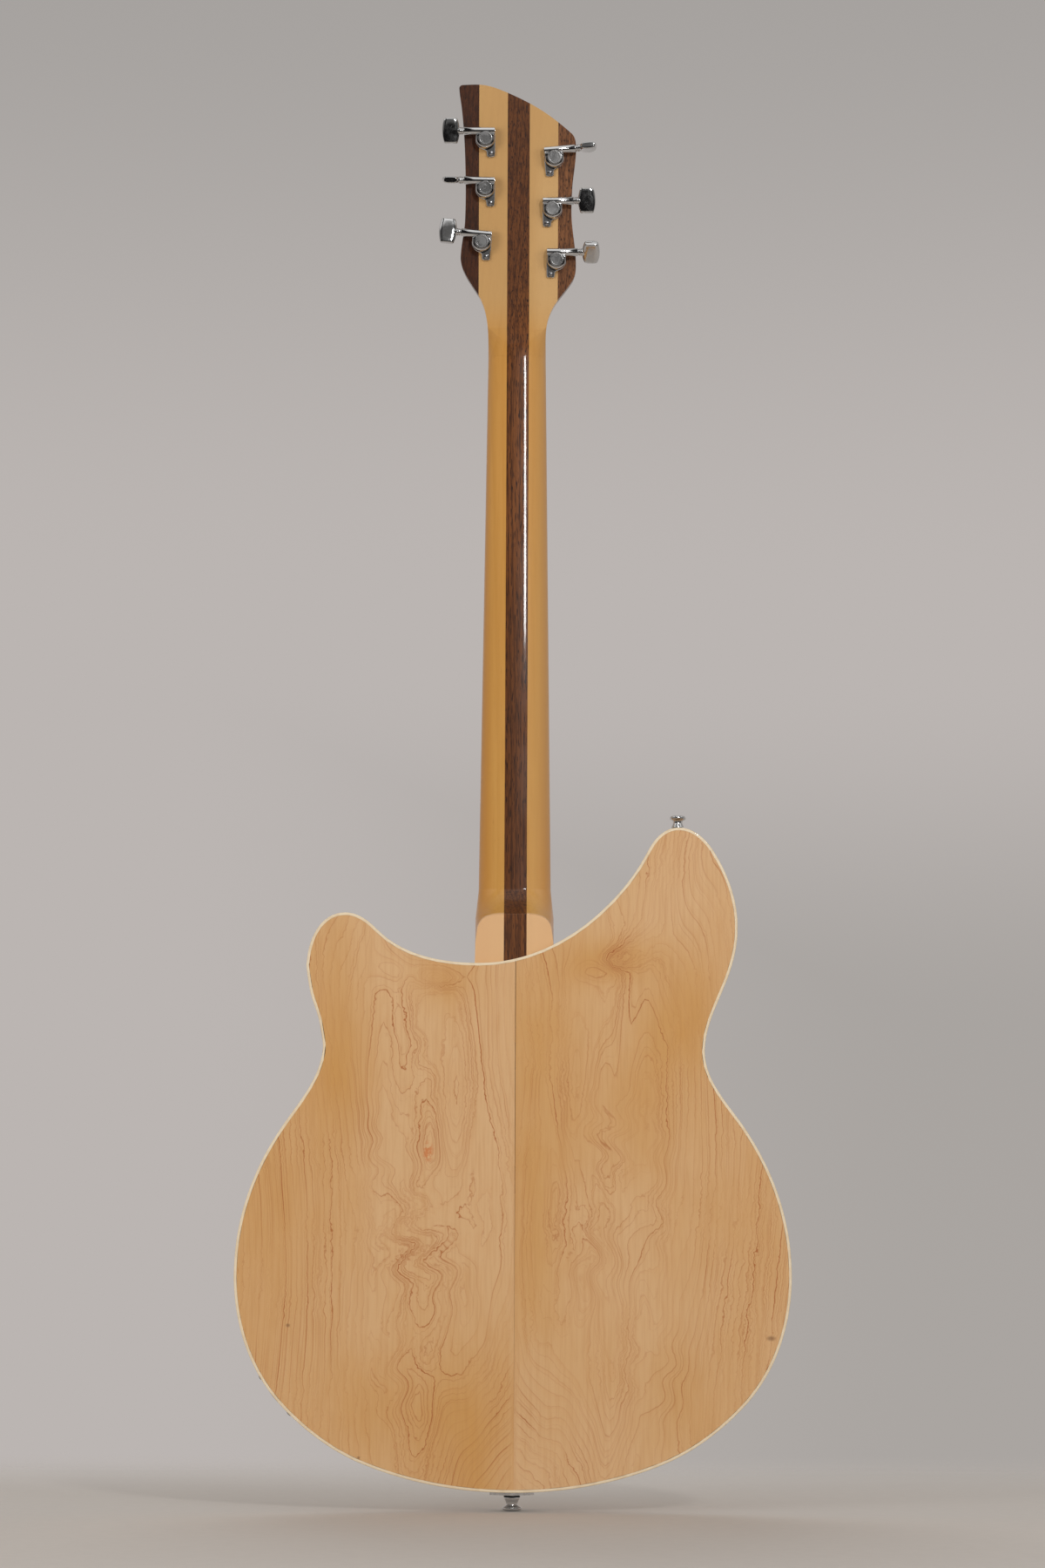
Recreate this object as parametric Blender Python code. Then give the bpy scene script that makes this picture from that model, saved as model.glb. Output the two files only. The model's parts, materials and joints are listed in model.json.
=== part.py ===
"""Thinline semi-hollow electric guitar with two cutaways, built as separate pieces.

Frame: the origin lies on the centreline at the nut, in the glue plane between neck and
fingerboard. +Z runs up the neck to the head, -Y faces the player's audience (strings),
+Y is the back, +X is the treble side. Lengths are metres.
"""
import math

import bmesh
import bpy
from mathutils import Matrix, Vector

# Gap that neighbouring pieces keep
GAP = 0.0003

# Turn in degrees and length of each step along a curved outline
CURVE_TURN = 6.0
CURVE_STEP = 0.022

# Strings and fingerboard
SCALE_LENGTH = 0.62865
FRET_COUNT = 24
NUT_WIDTH = 0.0414
OCTAVE_WIDTH = 0.04905
BOARD_THICKNESS = 0.006
BOARD_RADIUS = 0.300
BOARD_OVERHANG = 0.0065
BOARD_BINDING = 0.0016
FRET_WIDTH = 0.0024
FRET_HEIGHT = 0.0011
FRET_TANG = 0.0006
NUT_LENGTH = 0.0048
NUT_ACTION = 0.0014
BRIDGE_ACTION = 0.0044
NUT_STRING_SPREAD = 0.035
BRIDGE_STRING_SPREAD = 0.051
STRING_DIAMETERS = (0.00117, 0.00091, 0.00066, 0.00043, 0.00033, 0.00025)

# Body
BRIDGE_TO_END = 0.17135
LOWER_BOUT_WIDTH = 0.381
LOWER_BOUT_HEIGHT = 0.147
WAIST_WIDTH = 0.2632
WAIST_HEIGHT = 0.303
TREBLE_HORN_REACH = 0.1436
TREBLE_HORN_HEIGHT = 0.3945
BASS_HORN_REACH = 0.1547
BASS_HORN_HEIGHT = 0.4548
CUTAWAY_HEIGHT = 0.3598
BODY_DEPTH = 0.038
BOARD_RISE = 0.004
TOP_THICKNESS = 0.0045
BACK_THICKNESS = 0.0035
RIM_THICKNESS = 0.008
EDGE_RADIUS = 0.007
BINDING_WIDTH = 0.0027
BINDING_HEIGHT = 0.006
SEAM_X = -0.0012
NECK_BLOCK_WIDTH = 0.100
TAIL_BLOCK_WIDTH = 0.060
TAIL_BLOCK_LENGTH = 0.030

# Soundhole on the bass side
SOUNDHOLE_LENGTH = 0.150
SOUNDHOLE_INSET = 0.0905
SOUNDHOLE_HEIGHT = 0.160
SOUNDHOLE_TILT = 102.0
SOUNDHOLE_OUTER_BULGE = 0.026
SOUNDHOLE_INNER_BULGE = 0.004
SOUNDHOLE_BINDING = 0.002

# Neck: two maple strips and a walnut strip, with walnut wings on the head
NECK_DEPTH_NUT = 0.014
NECK_DEPTH_HEEL = 0.0175
HEEL_DEPTH = 0.036
HEEL_HEIGHT = 0.3946
HEEL_COVE = 0.0204
HEEL_FLARE = 0.0018
TENON_WIDTH = 0.048
TENON_DEPTH = 0.030
TENON_INSET = 0.0025
MORTISE_REACH = 0.0254
STRIPE_WIDTH = 0.0158
WING_SEAM = 0.02835
LAMINATION_SHIFT = -0.0006
HEAD_ANGLE = 10.0
HEAD_THICKNESS = 0.014
HEAD_LENGTH = 0.1955
HEAD_FLARE = 0.022
ROD_DIAMETER = 0.0046
ROD_CHANNEL_DEPTH = 0.008
ROD_END = 0.0105
ROD_INSET = 0.0415

# Tuners: each post's x, its place as a share of the head's length, its arm's tilt in degrees
TREBLE_POSTS = ((0.0233, 0.7980, 0.0), (0.0233, 0.6174, 1.0), (0.0257, 0.4225, 5.0))
BASS_POSTS = ((-0.0260, 0.7299, -5.0), (-0.0249, 0.5442, -1.0), (-0.0279, 0.3581, 0.0))
BUTTON_TURNS = {"1": 4.0, "2": 82.0, "3": 10.0, "4": 88.0, "5": -6.0, "6": 48.0}
POST_RADIUS = 0.0030
POST_WAIST = 0.0023
POST_CLEARANCE = 0.0003
POST_HEIGHT = 0.0165
BUSHING_WALL = 0.0008
HOUSING_HEIGHT = 0.0090
HOUSING_REACH = 0.0067
ARM_RADIUS = 0.00275
ARM_OFFSET = 0.0056
ARM_LENGTH = 0.0170
SHAFT_RADIUS = 0.0014
BUTTON_LENGTH = 0.0120
BUTTON_WIDTH = 0.0178
BUTTON_THICKNESS = 0.0052

# Front fittings
GUARD_THICKNESS = 0.0023
BOARD_TO_PICKUP = 0.008
PICKUP_TO_BRIDGE = 0.04065
PICKUP_LENGTH = 0.072
PICKUP_WIDTH = 0.032
PICKUP_FLANGE = 0.0045
PICKUP_CLEARANCE = 0.0042
BRIDGE_END_MARGIN = 0.007
BRIDGE_WIDTH = 0.017
BRIDGE_THICKNESS = 0.0035
BRIDGE_POST_SPACING = 0.074
BRIDGE_POST_RADIUS = 0.0025
TAIL_BAR_HEIGHT = 0.084
TAIL_BAR_WIDTH = 0.066
TAIL_BRACKET_WIDTH = 0.030
TAIL_PLATE = 0.0018
TAIL_BRACKET_REACH = 0.032
KNOB_INSETS = ((0.1125, 0.132), (0.0785, 0.160), (0.1025, 0.084), (0.0655, 0.114))
KNOB_RADIUS = 0.012
KNOB_HEIGHT = 0.0145
POT_RADIUS = 0.0085
POT_HEIGHT = 0.009
POT_BUSHING_RADIUS = 0.0047
POT_SHAFT_RADIUS = 0.00305
SWITCH_INSET = 0.04325
SWITCH_HEIGHT = 0.240
LEVER_RADIUS = 0.0013
LEVER_LENGTH = 0.017

# Rim fittings
STRAP_FLANGE_RADIUS = 0.0065
HORN_FLANGE_RADIUS = 0.0056
STRAP_BUTTON_HEIGHT = 0.0097
STRAP_SCREW_RADIUS = 0.0020
WASHER_THICKNESS = 0.0012
JACK_HEIGHT = 0.063
JACK_PLATE_LENGTH = 0.040
JACK_PLATE_WIDTH = 0.024
JACK_PLATE_THICKNESS = 0.0012
JACK_RADIUS = 0.0046
JACK_BORE_RADIUS = 0.0033
JACK_NUT_RADIUS = 0.0072
JACK_RISE = 0.0013
PLATE_HOLE_RADIUS = 0.0014

# Worked out from the sizes above
TOP_Y = BOARD_RISE
BACK_Y = TOP_Y + BODY_DEPTH
SEAT_Y = BACK_Y - BACK_THICKNESS - GAP
GUARD_Y = TOP_Y - GAP - GUARD_THICKNESS
BOARD_END = SCALE_LENGTH * (1 - 2 ** (-FRET_COUNT / 12)) + BOARD_OVERHANG
NUT_TO_END = SCALE_LENGTH + BRIDGE_TO_END
SIDE_X = LOWER_BOUT_WIDTH / 2
HEEL_TOP = NUT_TO_END - HEEL_HEIGHT
TENON_END = BOARD_END - TENON_INSET
MORTISE_TOP = HEEL_TOP - MORTISE_REACH
ROD_REACH = TENON_END - ROD_INSET
NECK_PICKUP_Z = -BOARD_END - BOARD_TO_PICKUP - PICKUP_WIDTH / 2
BRIDGE_PICKUP_Z = PICKUP_TO_BRIDGE - SCALE_LENGTH
BRIDGE_LENGTH = BRIDGE_POST_SPACING + 2 * BRIDGE_END_MARGIN
TAIL_BAR_Z = TAIL_BAR_HEIGHT - NUT_TO_END
KNOB_PLACES = tuple((SIDE_X - inset, height - NUT_TO_END) for inset, height in KNOB_INSETS)
SWITCH_X = (SIDE_X + PICKUP_LENGTH / 2) / 2 - SWITCH_INSET
SWITCH_Z = SWITCH_HEIGHT - NUT_TO_END
WIDTH_TAPER = (OCTAVE_WIDTH - NUT_WIDTH) / SCALE_LENGTH
HEAD_SIN = math.sin(math.radians(HEAD_ANGLE))
HEAD_COS = math.cos(math.radians(HEAD_ANGLE))
BUSHING_RADIUS = POST_RADIUS + POST_CLEARANCE + BUSHING_WALL
STRING_COUNT = len(STRING_DIAMETERS)

# Maps (x, along, depth): depth runs to the back, square to the body or to the tilted head
BODY_FRAME = Matrix(((1, 0, 0, 0), (0, 0, 1, 0), (0, 1, 0, 0), (0, 0, 0, 1)))
HEAD_FRAME = Matrix(((1, 0, 0, 0), (0, HEAD_SIN, HEAD_COS, 0), (0, HEAD_COS, -HEAD_SIN, 0), (0, 0, 0, 1)))

# name: colour, roughness, metallic
MATERIALS = {
    "maple_back": ((0.78, 0.53, 0.27), 0.35, 0.0),
    "maple_neck": ((0.76, 0.50, 0.20), 0.25, 0.0),
    "walnut": ((0.13, 0.055, 0.03), 0.35, 0.0),
    "rosewood": ((0.07, 0.03, 0.02), 0.45, 0.0),
    "cream_plastic": ((0.86, 0.79, 0.58), 0.35, 0.0),
    "bone": ((0.85, 0.82, 0.72), 0.4, 0.0),
    "chrome": ((0.78, 0.79, 0.80), 0.08, 1.0),
    "nickel": ((0.70, 0.68, 0.64), 0.2, 1.0),
    "steel": ((0.55, 0.55, 0.56), 0.3, 1.0),
    "black_plastic": ((0.02, 0.02, 0.022), 0.3, 0.0),
    "white_plastic": ((0.88, 0.88, 0.85), 0.3, 0.0),
    "felt": ((0.03, 0.03, 0.03), 0.95, 0.0),
}


def clear_scene():
    for item in list(bpy.data.objects):
        bpy.data.objects.remove(item, do_unlink=True)


def material(name):
    found = bpy.data.materials.get(name)
    if found:
        return found
    colour, roughness, metallic = MATERIALS[name]
    made = bpy.data.materials.new(name)
    made.use_nodes = True
    shader = made.node_tree.nodes["Principled BSDF"]
    shader.inputs["Base Color"].default_value = (*colour, 1.0)
    shader.inputs["Roughness"].default_value = roughness
    shader.inputs["Metallic"].default_value = metallic
    return made


def piece(name, shape, material_name, pivot=Matrix.Identity(4)):
    """Turn a bmesh in world space into a named object with its origin at the pivot."""
    bmesh.ops.recalc_face_normals(shape, faces=shape.faces)
    shape.transform(pivot.inverted())
    mesh = bpy.data.meshes.new(name)
    shape.to_mesh(mesh)
    shape.free()
    mesh.materials.append(material(material_name))
    mesh.shade_smooth()
    mesh.set_sharp_from_angle(angle=math.radians(32))
    made = bpy.data.objects.new(name, mesh)
    made.matrix_world = pivot
    bpy.context.scene.collection.objects.link(made)
    return made


def cutter(name, shape):
    made = piece(name, shape, "steel")
    made.hide_render = True
    made.display_type = "WIRE"
    return made


def combine(target, tool, operation="DIFFERENCE"):
    modifier = target.modifiers.new(tool.name, "BOOLEAN")
    modifier.object = tool
    modifier.operation = operation
    modifier.solver = "EXACT"


def loft(shape, rings):
    """Skin a list of equal rings and close both ends."""
    loops = [[shape.verts.new(point) for point in ring] for ring in rings]
    count = len(loops[0])
    for low, high in zip(loops, loops[1:]):
        for i in range(count):
            j = (i + 1) % count
            shape.faces.new((low[i], low[j], high[j], high[i]))
    shape.faces.new(loops[0])
    shape.faces.new(list(reversed(loops[-1])))
    return shape


def prism(shape, outline, low, high, frame=BODY_FRAME):
    rings = [[frame @ Vector((x, z, depth)) for x, z in outline] for depth in (low, high)]
    return loft(shape, rings)


def turned(shape, profile, frame, sides=10):
    """Turn (radius, height) pairs round the frame's third axis, with flat ends."""
    rings = []
    for radius, height in profile:
        ring = []
        for i in range(sides):
            angle = 2 * math.pi * i / sides
            ring.append(frame @ Vector((radius * math.cos(angle), radius * math.sin(angle), height)))
        rings.append(ring)
    return loft(shape, rings)


def sleeve(shape, outer, inner, low, high, frame, sides=12):
    """Turn a plain ring with a bore right through it."""
    corners = ((inner, low), (outer, low), (outer, high), (inner, high))
    loops = []
    for radius, height in corners:
        ring = []
        for i in range(sides):
            angle = 2 * math.pi * i / sides
            point = Vector((radius * math.cos(angle), radius * math.sin(angle), height))
            ring.append(shape.verts.new(frame @ point))
        loops.append(ring)
    for k in range(4):
        ring, following = loops[k], loops[(k + 1) % 4]
        for i in range(sides):
            j = (i + 1) % sides
            shape.faces.new((ring[i], ring[j], following[j], following[i]))
    return shape


def box(shape, x, y, z):
    outline = ((x[0], z[0]), (x[1], z[0]), (x[1], z[1]), (x[0], z[1]))
    return prism(shape, outline, y[0], y[1])


def axis_frame(origin, axis, right):
    """Frame whose third axis is the given one and whose first lies nearest to right."""
    third = Vector(axis).normalized()
    first = (Vector(right) - third * Vector(right).dot(third)).normalized()
    second = third.cross(first)
    frame = Matrix((first, second, third)).transposed().to_4x4()
    frame.translation = Vector(origin)
    return frame


def front_frame(x, z):
    """Frame on the body's front, third axis pointing out of the front."""
    return axis_frame((x, 0.0, z), (0, -1, 0), (1, 0, 0))


def curve(knots, closed=True):
    """Smooth outline through (x, y, direction in degrees) knots, left turns positive."""
    points = []
    spans = len(knots) if closed else len(knots) - 1
    for i in range(spans):
        x0, y0, a0 = knots[i]
        x1, y1, a1 = knots[(i + 1) % len(knots)]
        a0, a1 = math.radians(a0), math.radians(a1)
        turn = (a1 - a0 + math.pi) % (2 * math.pi) - math.pi
        chord = math.hypot(x1 - x0, y1 - y0)
        reach = chord / (3 * math.cos(turn / 4) ** 2)
        handles = (
            Vector((x0, y0)),
            Vector((x0 + reach * math.cos(a0), y0 + reach * math.sin(a0))),
            Vector((x1 - reach * math.cos(a1), y1 - reach * math.sin(a1))),
            Vector((x1, y1)),
        )
        steps = max(2, math.ceil(abs(math.degrees(turn)) / CURVE_TURN), math.ceil(chord / CURVE_STEP))
        for k in range(steps):
            t = k / steps
            weights = ((1 - t) ** 3, 3 * t * (1 - t) ** 2, 3 * t * t * (1 - t), t ** 3)
            points.append(sum((w * h for w, h in zip(weights, handles)), Vector((0, 0))))
    if not closed:
        points.append(Vector(knots[-1][:2]))
    return points


def inset(outline, distance):
    """Move a left-turning outline inwards, or outwards where the distance is negative."""
    moved = []
    count = len(outline)
    for i in range(count):
        before = (outline[i] - outline[i - 1]).normalized()
        after = (outline[(i + 1) % count] - outline[i]).normalized()
        normal = Vector((-before.y - after.y, before.x + after.x)).normalized()
        stretch = max(0.5, normal.dot(Vector((-before.y, before.x))))
        moved.append(outline[i] + normal * distance / stretch)
    return moved


def rounded_rectangle(width, length, radius, steps=3, centre=(0.0, 0.0)):
    points = []
    corners = ((1, -1, -90), (1, 1, 0), (-1, 1, 90), (-1, -1, 180))
    for sx, sy, start in corners:
        middle = Vector((sx * (width / 2 - radius), sy * (length / 2 - radius)))
        for k in range(steps + 1):
            angle = math.radians(start + 90 * k / steps)
            offset = Vector((math.cos(angle), math.sin(angle))) * radius
            points.append(Vector(centre) + middle + offset)
    return points


def clip(outline, limit, keep_above):
    """Keep the part of an outline on one side of the line x = limit."""
    kept = []
    sign = 1 if keep_above else -1
    for i, point in enumerate(outline):
        last = outline[i - 1]
        inside, was_inside = sign * (point.x - limit) >= 0, sign * (last.x - limit) >= 0
        if inside != was_inside:
            share = (limit - last.x) / (point.x - last.x)
            kept.append(last + (point - last) * share)
        if inside:
            kept.append(point)
    return kept


def body_outline():
    """Outline of the back, from the strap button round the treble side."""
    lower, waist = LOWER_BOUT_WIDTH / 2, WAIST_WIDTH / 2
    shoulder = waist + 0.47 * (lower - waist)
    shoulder_height = LOWER_BOUT_HEIGHT + 0.635 * (WAIST_HEIGHT - LOWER_BOUT_HEIGHT)
    treble, treble_top = TREBLE_HORN_REACH, TREBLE_HORN_HEIGHT
    bass, bass_top = BASS_HORN_REACH, BASS_HORN_HEIGHT
    knots = [
        (0, 0, 0),
        (0.535 * lower, 0.129 * LOWER_BOUT_HEIGHT, 22),
        (0.822 * lower, 0.388 * LOWER_BOUT_HEIGHT, 46),
        (lower, LOWER_BOUT_HEIGHT, 90),
        (shoulder, shoulder_height, 124),
        (waist, WAIST_HEIGHT, 90),
        (treble, treble_top - 0.0385, 90),
        (treble - 0.0266, treble_top, 180),
        (treble - 0.0486, treble_top - 0.0117, 225),
        (0.0245, CUTAWAY_HEIGHT, 180),
        (0.0965 - bass, bass_top - 0.0606, 138),
        (0.0617 - bass, bass_top - 0.0158, 117),
        (0.0407 - bass, bass_top, 180),
        (0.0163 - bass, bass_top - 0.0168, 238),
        (-bass, bass_top - 0.0698, 270),
        (0.0103 - bass, bass_top - 0.1128, 293),
        (-waist, WAIST_HEIGHT - 0.004, 270),
        (-shoulder, shoulder_height, 236),
        (-lower, LOWER_BOUT_HEIGHT, 270),
        (-0.822 * lower, 0.388 * LOWER_BOUT_HEIGHT, 314),
        (-0.535 * lower, 0.129 * LOWER_BOUT_HEIGHT, 338),
    ]
    return [point + Vector((0, -NUT_TO_END)) for point in curve(knots)]


def head_outline():
    """Open outline of the head on its own face, treble side first."""
    neck = NUT_WIDTH / 2
    tip = HEAD_LENGTH
    knots = [
        (neck, 0, 90),
        (0.0214, 0.128 * tip, 83),
        (0.0278, 0.232 * tip, 58),
        (0.0385, 0.321 * tip, 66),
        (0.0407, 0.371 * tip, 92),
        (0.0376, 0.509 * tip, 92),
        (0.0373, 0.645 * tip, 89),
        (0.0405, 0.923 * tip, 83),
        (0.0421, 0.986 * tip, 88),
        (0.0395, 0.9985 * tip, 178),
        (0.0280, tip, 182),
        (0.0075, 0.971 * tip, 203),
        (-0.0200, 0.897 * tip, 214),
        (-0.0385, 0.823 * tip, 222),
        (-0.0414, 0.790 * tip, 264),
        (-0.0390, 0.616 * tip, 272),
        (-0.0386, 0.524 * tip, 268),
        (-0.0419, 0.330 * tip, 272),
        (-0.0395, 0.2865 * tip, 301),
        (-0.0287, 0.212 * tip, 306),
        (-0.0214, 0.128 * tip, 281),
        (-neck, 0, 270),
    ]
    return curve(knots, closed=False)


def board_half_width(along):
    """Half width of the fingerboard at a distance below the nut."""
    return NUT_WIDTH / 2 + WIDTH_TAPER * along


def board_top(x):
    """Height of the crowned fingerboard's face at x, as a y value."""
    drop = BOARD_RADIUS - math.sqrt(BOARD_RADIUS ** 2 - x ** 2)
    return -BOARD_THICKNESS + drop


def fret_position(number):
    return -SCALE_LENGTH * (1 - 2 ** (-number / 12))


def neck_section(half_width, depth, exponent, flat):
    """Half-round section of the neck's back, cut off flat at the given depth."""
    steps = 7
    power = 2 / exponent
    limit = math.radians(86)
    if depth > flat:
        limit = min(limit, math.asin((flat / depth) ** (1 / power)))
    half = []
    for i in range(steps + 1):
        angle = limit * i / steps
        half.append((half_width * math.cos(angle) ** power, depth * math.sin(angle) ** power))
    return half + [(-x, y) for x, y in reversed(half)]


def neck_rings():
    """Sections from the tenon's end up to the tip of the head."""
    cove_start = HEEL_TOP - HEEL_COVE
    rings = []
    stations = [TENON_END] + [HEEL_TOP + HEEL_COVE * k for k in (1.3, 0.7, 0.4, 0.2, 0.08, 0.0)]
    stations += [HEEL_TOP - HEEL_COVE * k / 5 for k in range(1, 6)]
    stations += [cove_start * k / 4 for k in (3, 2, 1, 0)]
    for along in stations:
        t = max(0.0, (along - cove_start) / HEEL_COVE)
        thick = NECK_DEPTH_NUT + (NECK_DEPTH_HEEL - NECK_DEPTH_NUT) * min(along, cove_start) / cove_start
        depth = thick + (HEEL_DEPTH - thick) * t ** 1.9
        width = board_half_width(min(along, HEEL_TOP)) + HEEL_FLARE * min(1.0, t)
        section = neck_section(width, depth, 2.2 + 1.3 * min(1.0, t), HEEL_DEPTH)
        rings.append([Vector((x, y, -along)) for x, y in section])
    spread = WING_SEAM + HEAD_FLARE
    for share in (0.05, 0.10, 0.15, 0.215, 0.286, 1.05):
        along = share * HEAD_LENGTH
        t = min(1.0, share / 0.286)
        width = NUT_WIDTH / 2 + (spread - NUT_WIDTH / 2) * t ** 2
        depth = HEAD_THICKNESS * (1.002 + 3.0 * t ** 3)
        section = neck_section(width, depth, 2.2 + 9.2 * t * t, HEAD_THICKNESS)
        rings.append([HEAD_FRAME @ Vector((x, along, y)) for x, y in section])
    return rings


def body_clearance():
    """What the neck leaves free for the body, with the tenon's mortise taken out."""
    shape = prism(bmesh.new(), inset(body_outline(), -GAP), TOP_Y - GAP, BACK_Y + 0.02)
    block = cutter("guide_body", shape)
    half = TENON_WIDTH / 2
    shape = box(bmesh.new(), (-half, half), (TOP_Y - 0.02, TENON_DEPTH), (-TENON_END - 0.01, -MORTISE_TOP))
    combine(block, cutter("guide_tenon", shape))
    return block


def head_drillings():
    """Holes of all tuner sleeves through the head, as one cutter."""
    shape = bmesh.new()
    for _, frame in tuner_places():
        radius = BUSHING_RADIUS + GAP
        turned(shape, ((radius, -HEAD_THICKNESS - 0.004), (radius, 0.004)), frame)
    return cutter("cut_head_drillings", shape)


def rod_channel():
    """Channel for the truss rod, open towards the fingerboard."""
    half = ROD_DIAMETER + 3 * GAP
    x = (LAMINATION_SHIFT - half, LAMINATION_SHIFT + half)
    span = (-ROD_REACH - ROD_DIAMETER - 4 * GAP, ROD_END + 0.0025)
    return cutter("cut_rod_channel", box(bmesh.new(), x, (-0.01, ROD_CHANNEL_DEPTH), span))


def make_neck():
    """Five strips of one blank: maple, walnut, maple, and a walnut wing on each side."""
    stripe, seam, shift = STRIPE_WIDTH / 2, WING_SEAM, LAMINATION_SHIFT
    far = 0.08
    strips = (
        ("neck_maple_bass", -seam, -stripe, "maple_neck"),
        ("neck_walnut_center", -stripe, stripe, "walnut"),
        ("neck_maple_treble", stripe, seam, "maple_neck"),
        ("head_wing_bass", -far, -seam, "walnut"),
        ("head_wing_treble", seam, far, "walnut"),
    )
    head = head_outline()
    side, tail = WING_SEAM + 0.005, TENON_END + 0.02
    whole = [Vector((side, -tail)), Vector((side, 0))] + head + [Vector((-side, 0)), Vector((-side, -tail))]
    clearance, drillings = body_clearance(), head_drillings()
    for name, low, high, wood in strips:
        wing = name.startswith("head_wing")
        plan = clip(clip(head if wing else whole, low + shift + GAP / 2, True), high + shift - GAP / 2, False)
        strip = piece(name, loft(bmesh.new(), neck_rings()), wood)
        combine(strip, cutter("plan_" + name, prism(bmesh.new(), plan, -0.15, 0.15, HEAD_FRAME)), "INTERSECT")
        if not wing:
            combine(strip, clearance)
        if name == "neck_walnut_center":
            combine(strip, rod_channel())
        else:
            combine(strip, drillings)


def soundhole_outline(grow=0.0):
    """Leaf shape between two arcs that bulge the same way, by different amounts."""
    steps = 12
    half = SOUNDHOLE_LENGTH / 2
    side = []
    for bulge, forward in ((SOUNDHOLE_OUTER_BULGE, 1), (-SOUNDHOLE_INNER_BULGE, -1)):
        for k in range(steps):
            t = (-1 + 2 * k / steps) * forward
            side.append(Vector((t * half, -bulge * (1 - t * t))))
    turn = Matrix.Rotation(math.radians(SOUNDHOLE_TILT), 2)
    middle = Vector((SOUNDHOLE_INSET - SIDE_X, SOUNDHOLE_HEIGHT - NUT_TO_END))
    placed = [turn @ point + middle for point in side]
    return inset(placed, -grow)


def pickup_outline(z, grow=0.0):
    flange = 2 * PICKUP_FLANGE - 2 * grow
    return rounded_rectangle(PICKUP_LENGTH - flange, PICKUP_WIDTH - flange, 0.003, 2, (0, z))


def front_holes():
    """Every opening of the front, as one cutter."""
    shape = bmesh.new()
    low, high = TOP_Y - 0.01, TOP_Y + TOP_THICKNESS + 0.003
    prism(shape, soundhole_outline(SOUNDHOLE_BINDING + GAP), low, high)
    for z in (NECK_PICKUP_Z, BRIDGE_PICKUP_Z):
        prism(shape, pickup_outline(z, -0.002), low, high)
    half = TENON_WIDTH / 2 + GAP
    box(shape, (-half, half), (low, TENON_DEPTH + GAP), (-TENON_END - GAP, -MORTISE_TOP))
    for x, z in KNOB_PLACES + ((SWITCH_X, SWITCH_Z),):
        radius = POT_BUSHING_RADIUS + GAP
        turned(shape, ((radius, -high), (radius, -low)), front_frame(x, z))
    for side in (-1, 1):
        radius = BRIDGE_POST_RADIUS + GAP
        place = front_frame(side * BRIDGE_POST_SPACING / 2, -SCALE_LENGTH)
        turned(shape, ((radius, -high), (radius, -low)), place, 12)
    return cutter("cut_front_holes", shape)


def cavity():
    """Hollow routed from the back, with the neck block and tail block left standing."""
    shape = prism(bmesh.new(), inset(body_outline(), RIM_THICKNESS), TOP_Y + TOP_THICKNESS, BACK_Y + 0.01)
    hollow = cutter("cut_cavity", shape)
    blocks = bmesh.new()
    half, depth = NECK_BLOCK_WIDTH / 2, (0.0, BACK_Y + 0.02)
    box(blocks, (-half, half), depth, (-TENON_END - RIM_THICKNESS, -MORTISE_TOP))
    half = TAIL_BLOCK_WIDTH / 2
    box(blocks, (-half, half), depth, (-NUT_TO_END - 0.01, TAIL_BLOCK_LENGTH - NUT_TO_END))
    combine(hollow, cutter("guide_blocks", blocks))
    return hollow


def rim_place(height):
    """Point, inward normal and direction of the treble rim at a height over the end."""
    outline = body_outline()
    level = height - NUT_TO_END
    for i in range(len(outline) - 1):
        low, high = outline[i], outline[i + 1]
        if low.y <= level <= high.y and high.x > 0:
            along = (high - low).normalized()
            share = (level - low.y) / (high.y - low.y)
            return low + (high - low) * share, Vector((-along.y, along.x)), along
    raise ValueError("no rim at this height")


def travel(points, distance):
    """Point at a distance along a chain of points."""
    for first, second in zip(points, points[1:]):
        step = (second - first).length
        if distance <= step:
            return first + (second - first) * distance / step
        distance -= step
    return points[-1]


def rim_band(shape, centre, length, inner, outer, low, high):
    """Strip of plate that follows the rim round a point, between two offsets from it."""
    outline = body_outline()
    count = len(outline)
    nearest = min(range(count), key=lambda i: (outline[i] - centre).length)
    step = outline[(nearest + 1) % count] - outline[nearest]
    ahead = nearest if (outline[nearest] - centre).dot(step) > 0 else nearest + 1
    forward = [centre] + [outline[(ahead + k) % count] for k in range(12)]
    backward = [centre] + [outline[ahead - 1 - k] for k in range(12)]
    path = [travel(backward, length * k / 8) for k in (4, 3, 2, 1)] + [centre]
    path += [travel(forward, length * k / 8) for k in (1, 2, 3, 4)]
    inside, outside = [], []
    for k, point in enumerate(path):
        before, after = path[max(0, k - 1)], path[min(8, k + 1)]
        along = (after - before).normalized()
        normal = Vector((along.y, -along.x))
        inside.append(point + normal * inner)
        outside.append(point + normal * outer)
    return prism(shape, outside + list(reversed(inside)), low, high)


def jack_frame():
    """Frame on the rim at the jack, third axis pointing out of the rim."""
    point, normal, along = rim_place(JACK_HEIGHT)
    origin = (point.x, jack_y(), point.y)
    return axis_frame(origin, (-normal.x, 0, -normal.y), (along.x, 0, along.y))


def jack_y():
    return BACK_Y - BINDING_HEIGHT - 0.003 - JACK_PLATE_WIDTH / 2


def end_frame():
    """Frame at the body's end, third axis pointing down."""
    return axis_frame((0, TOP_Y + 0.022, -NUT_TO_END), (0, 0, -1), (1, 0, 0))


def horn_frame():
    tip = max(body_outline(), key=lambda point: point.y)
    return axis_frame((0.0407 - BASS_HORN_REACH, TOP_Y + 0.020, tip.y), (0, 0, 1), (1, 0, 0))


def plate_screw_places():
    """Screws at the corners of the jack plate, in the jack's frame."""
    reach, side = JACK_PLATE_LENGTH / 2 - 0.004, JACK_PLATE_WIDTH / 2 - 0.0035
    return [(a * reach, b * side) for a in (-1, 1) for b in (-1, 1)]


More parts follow.
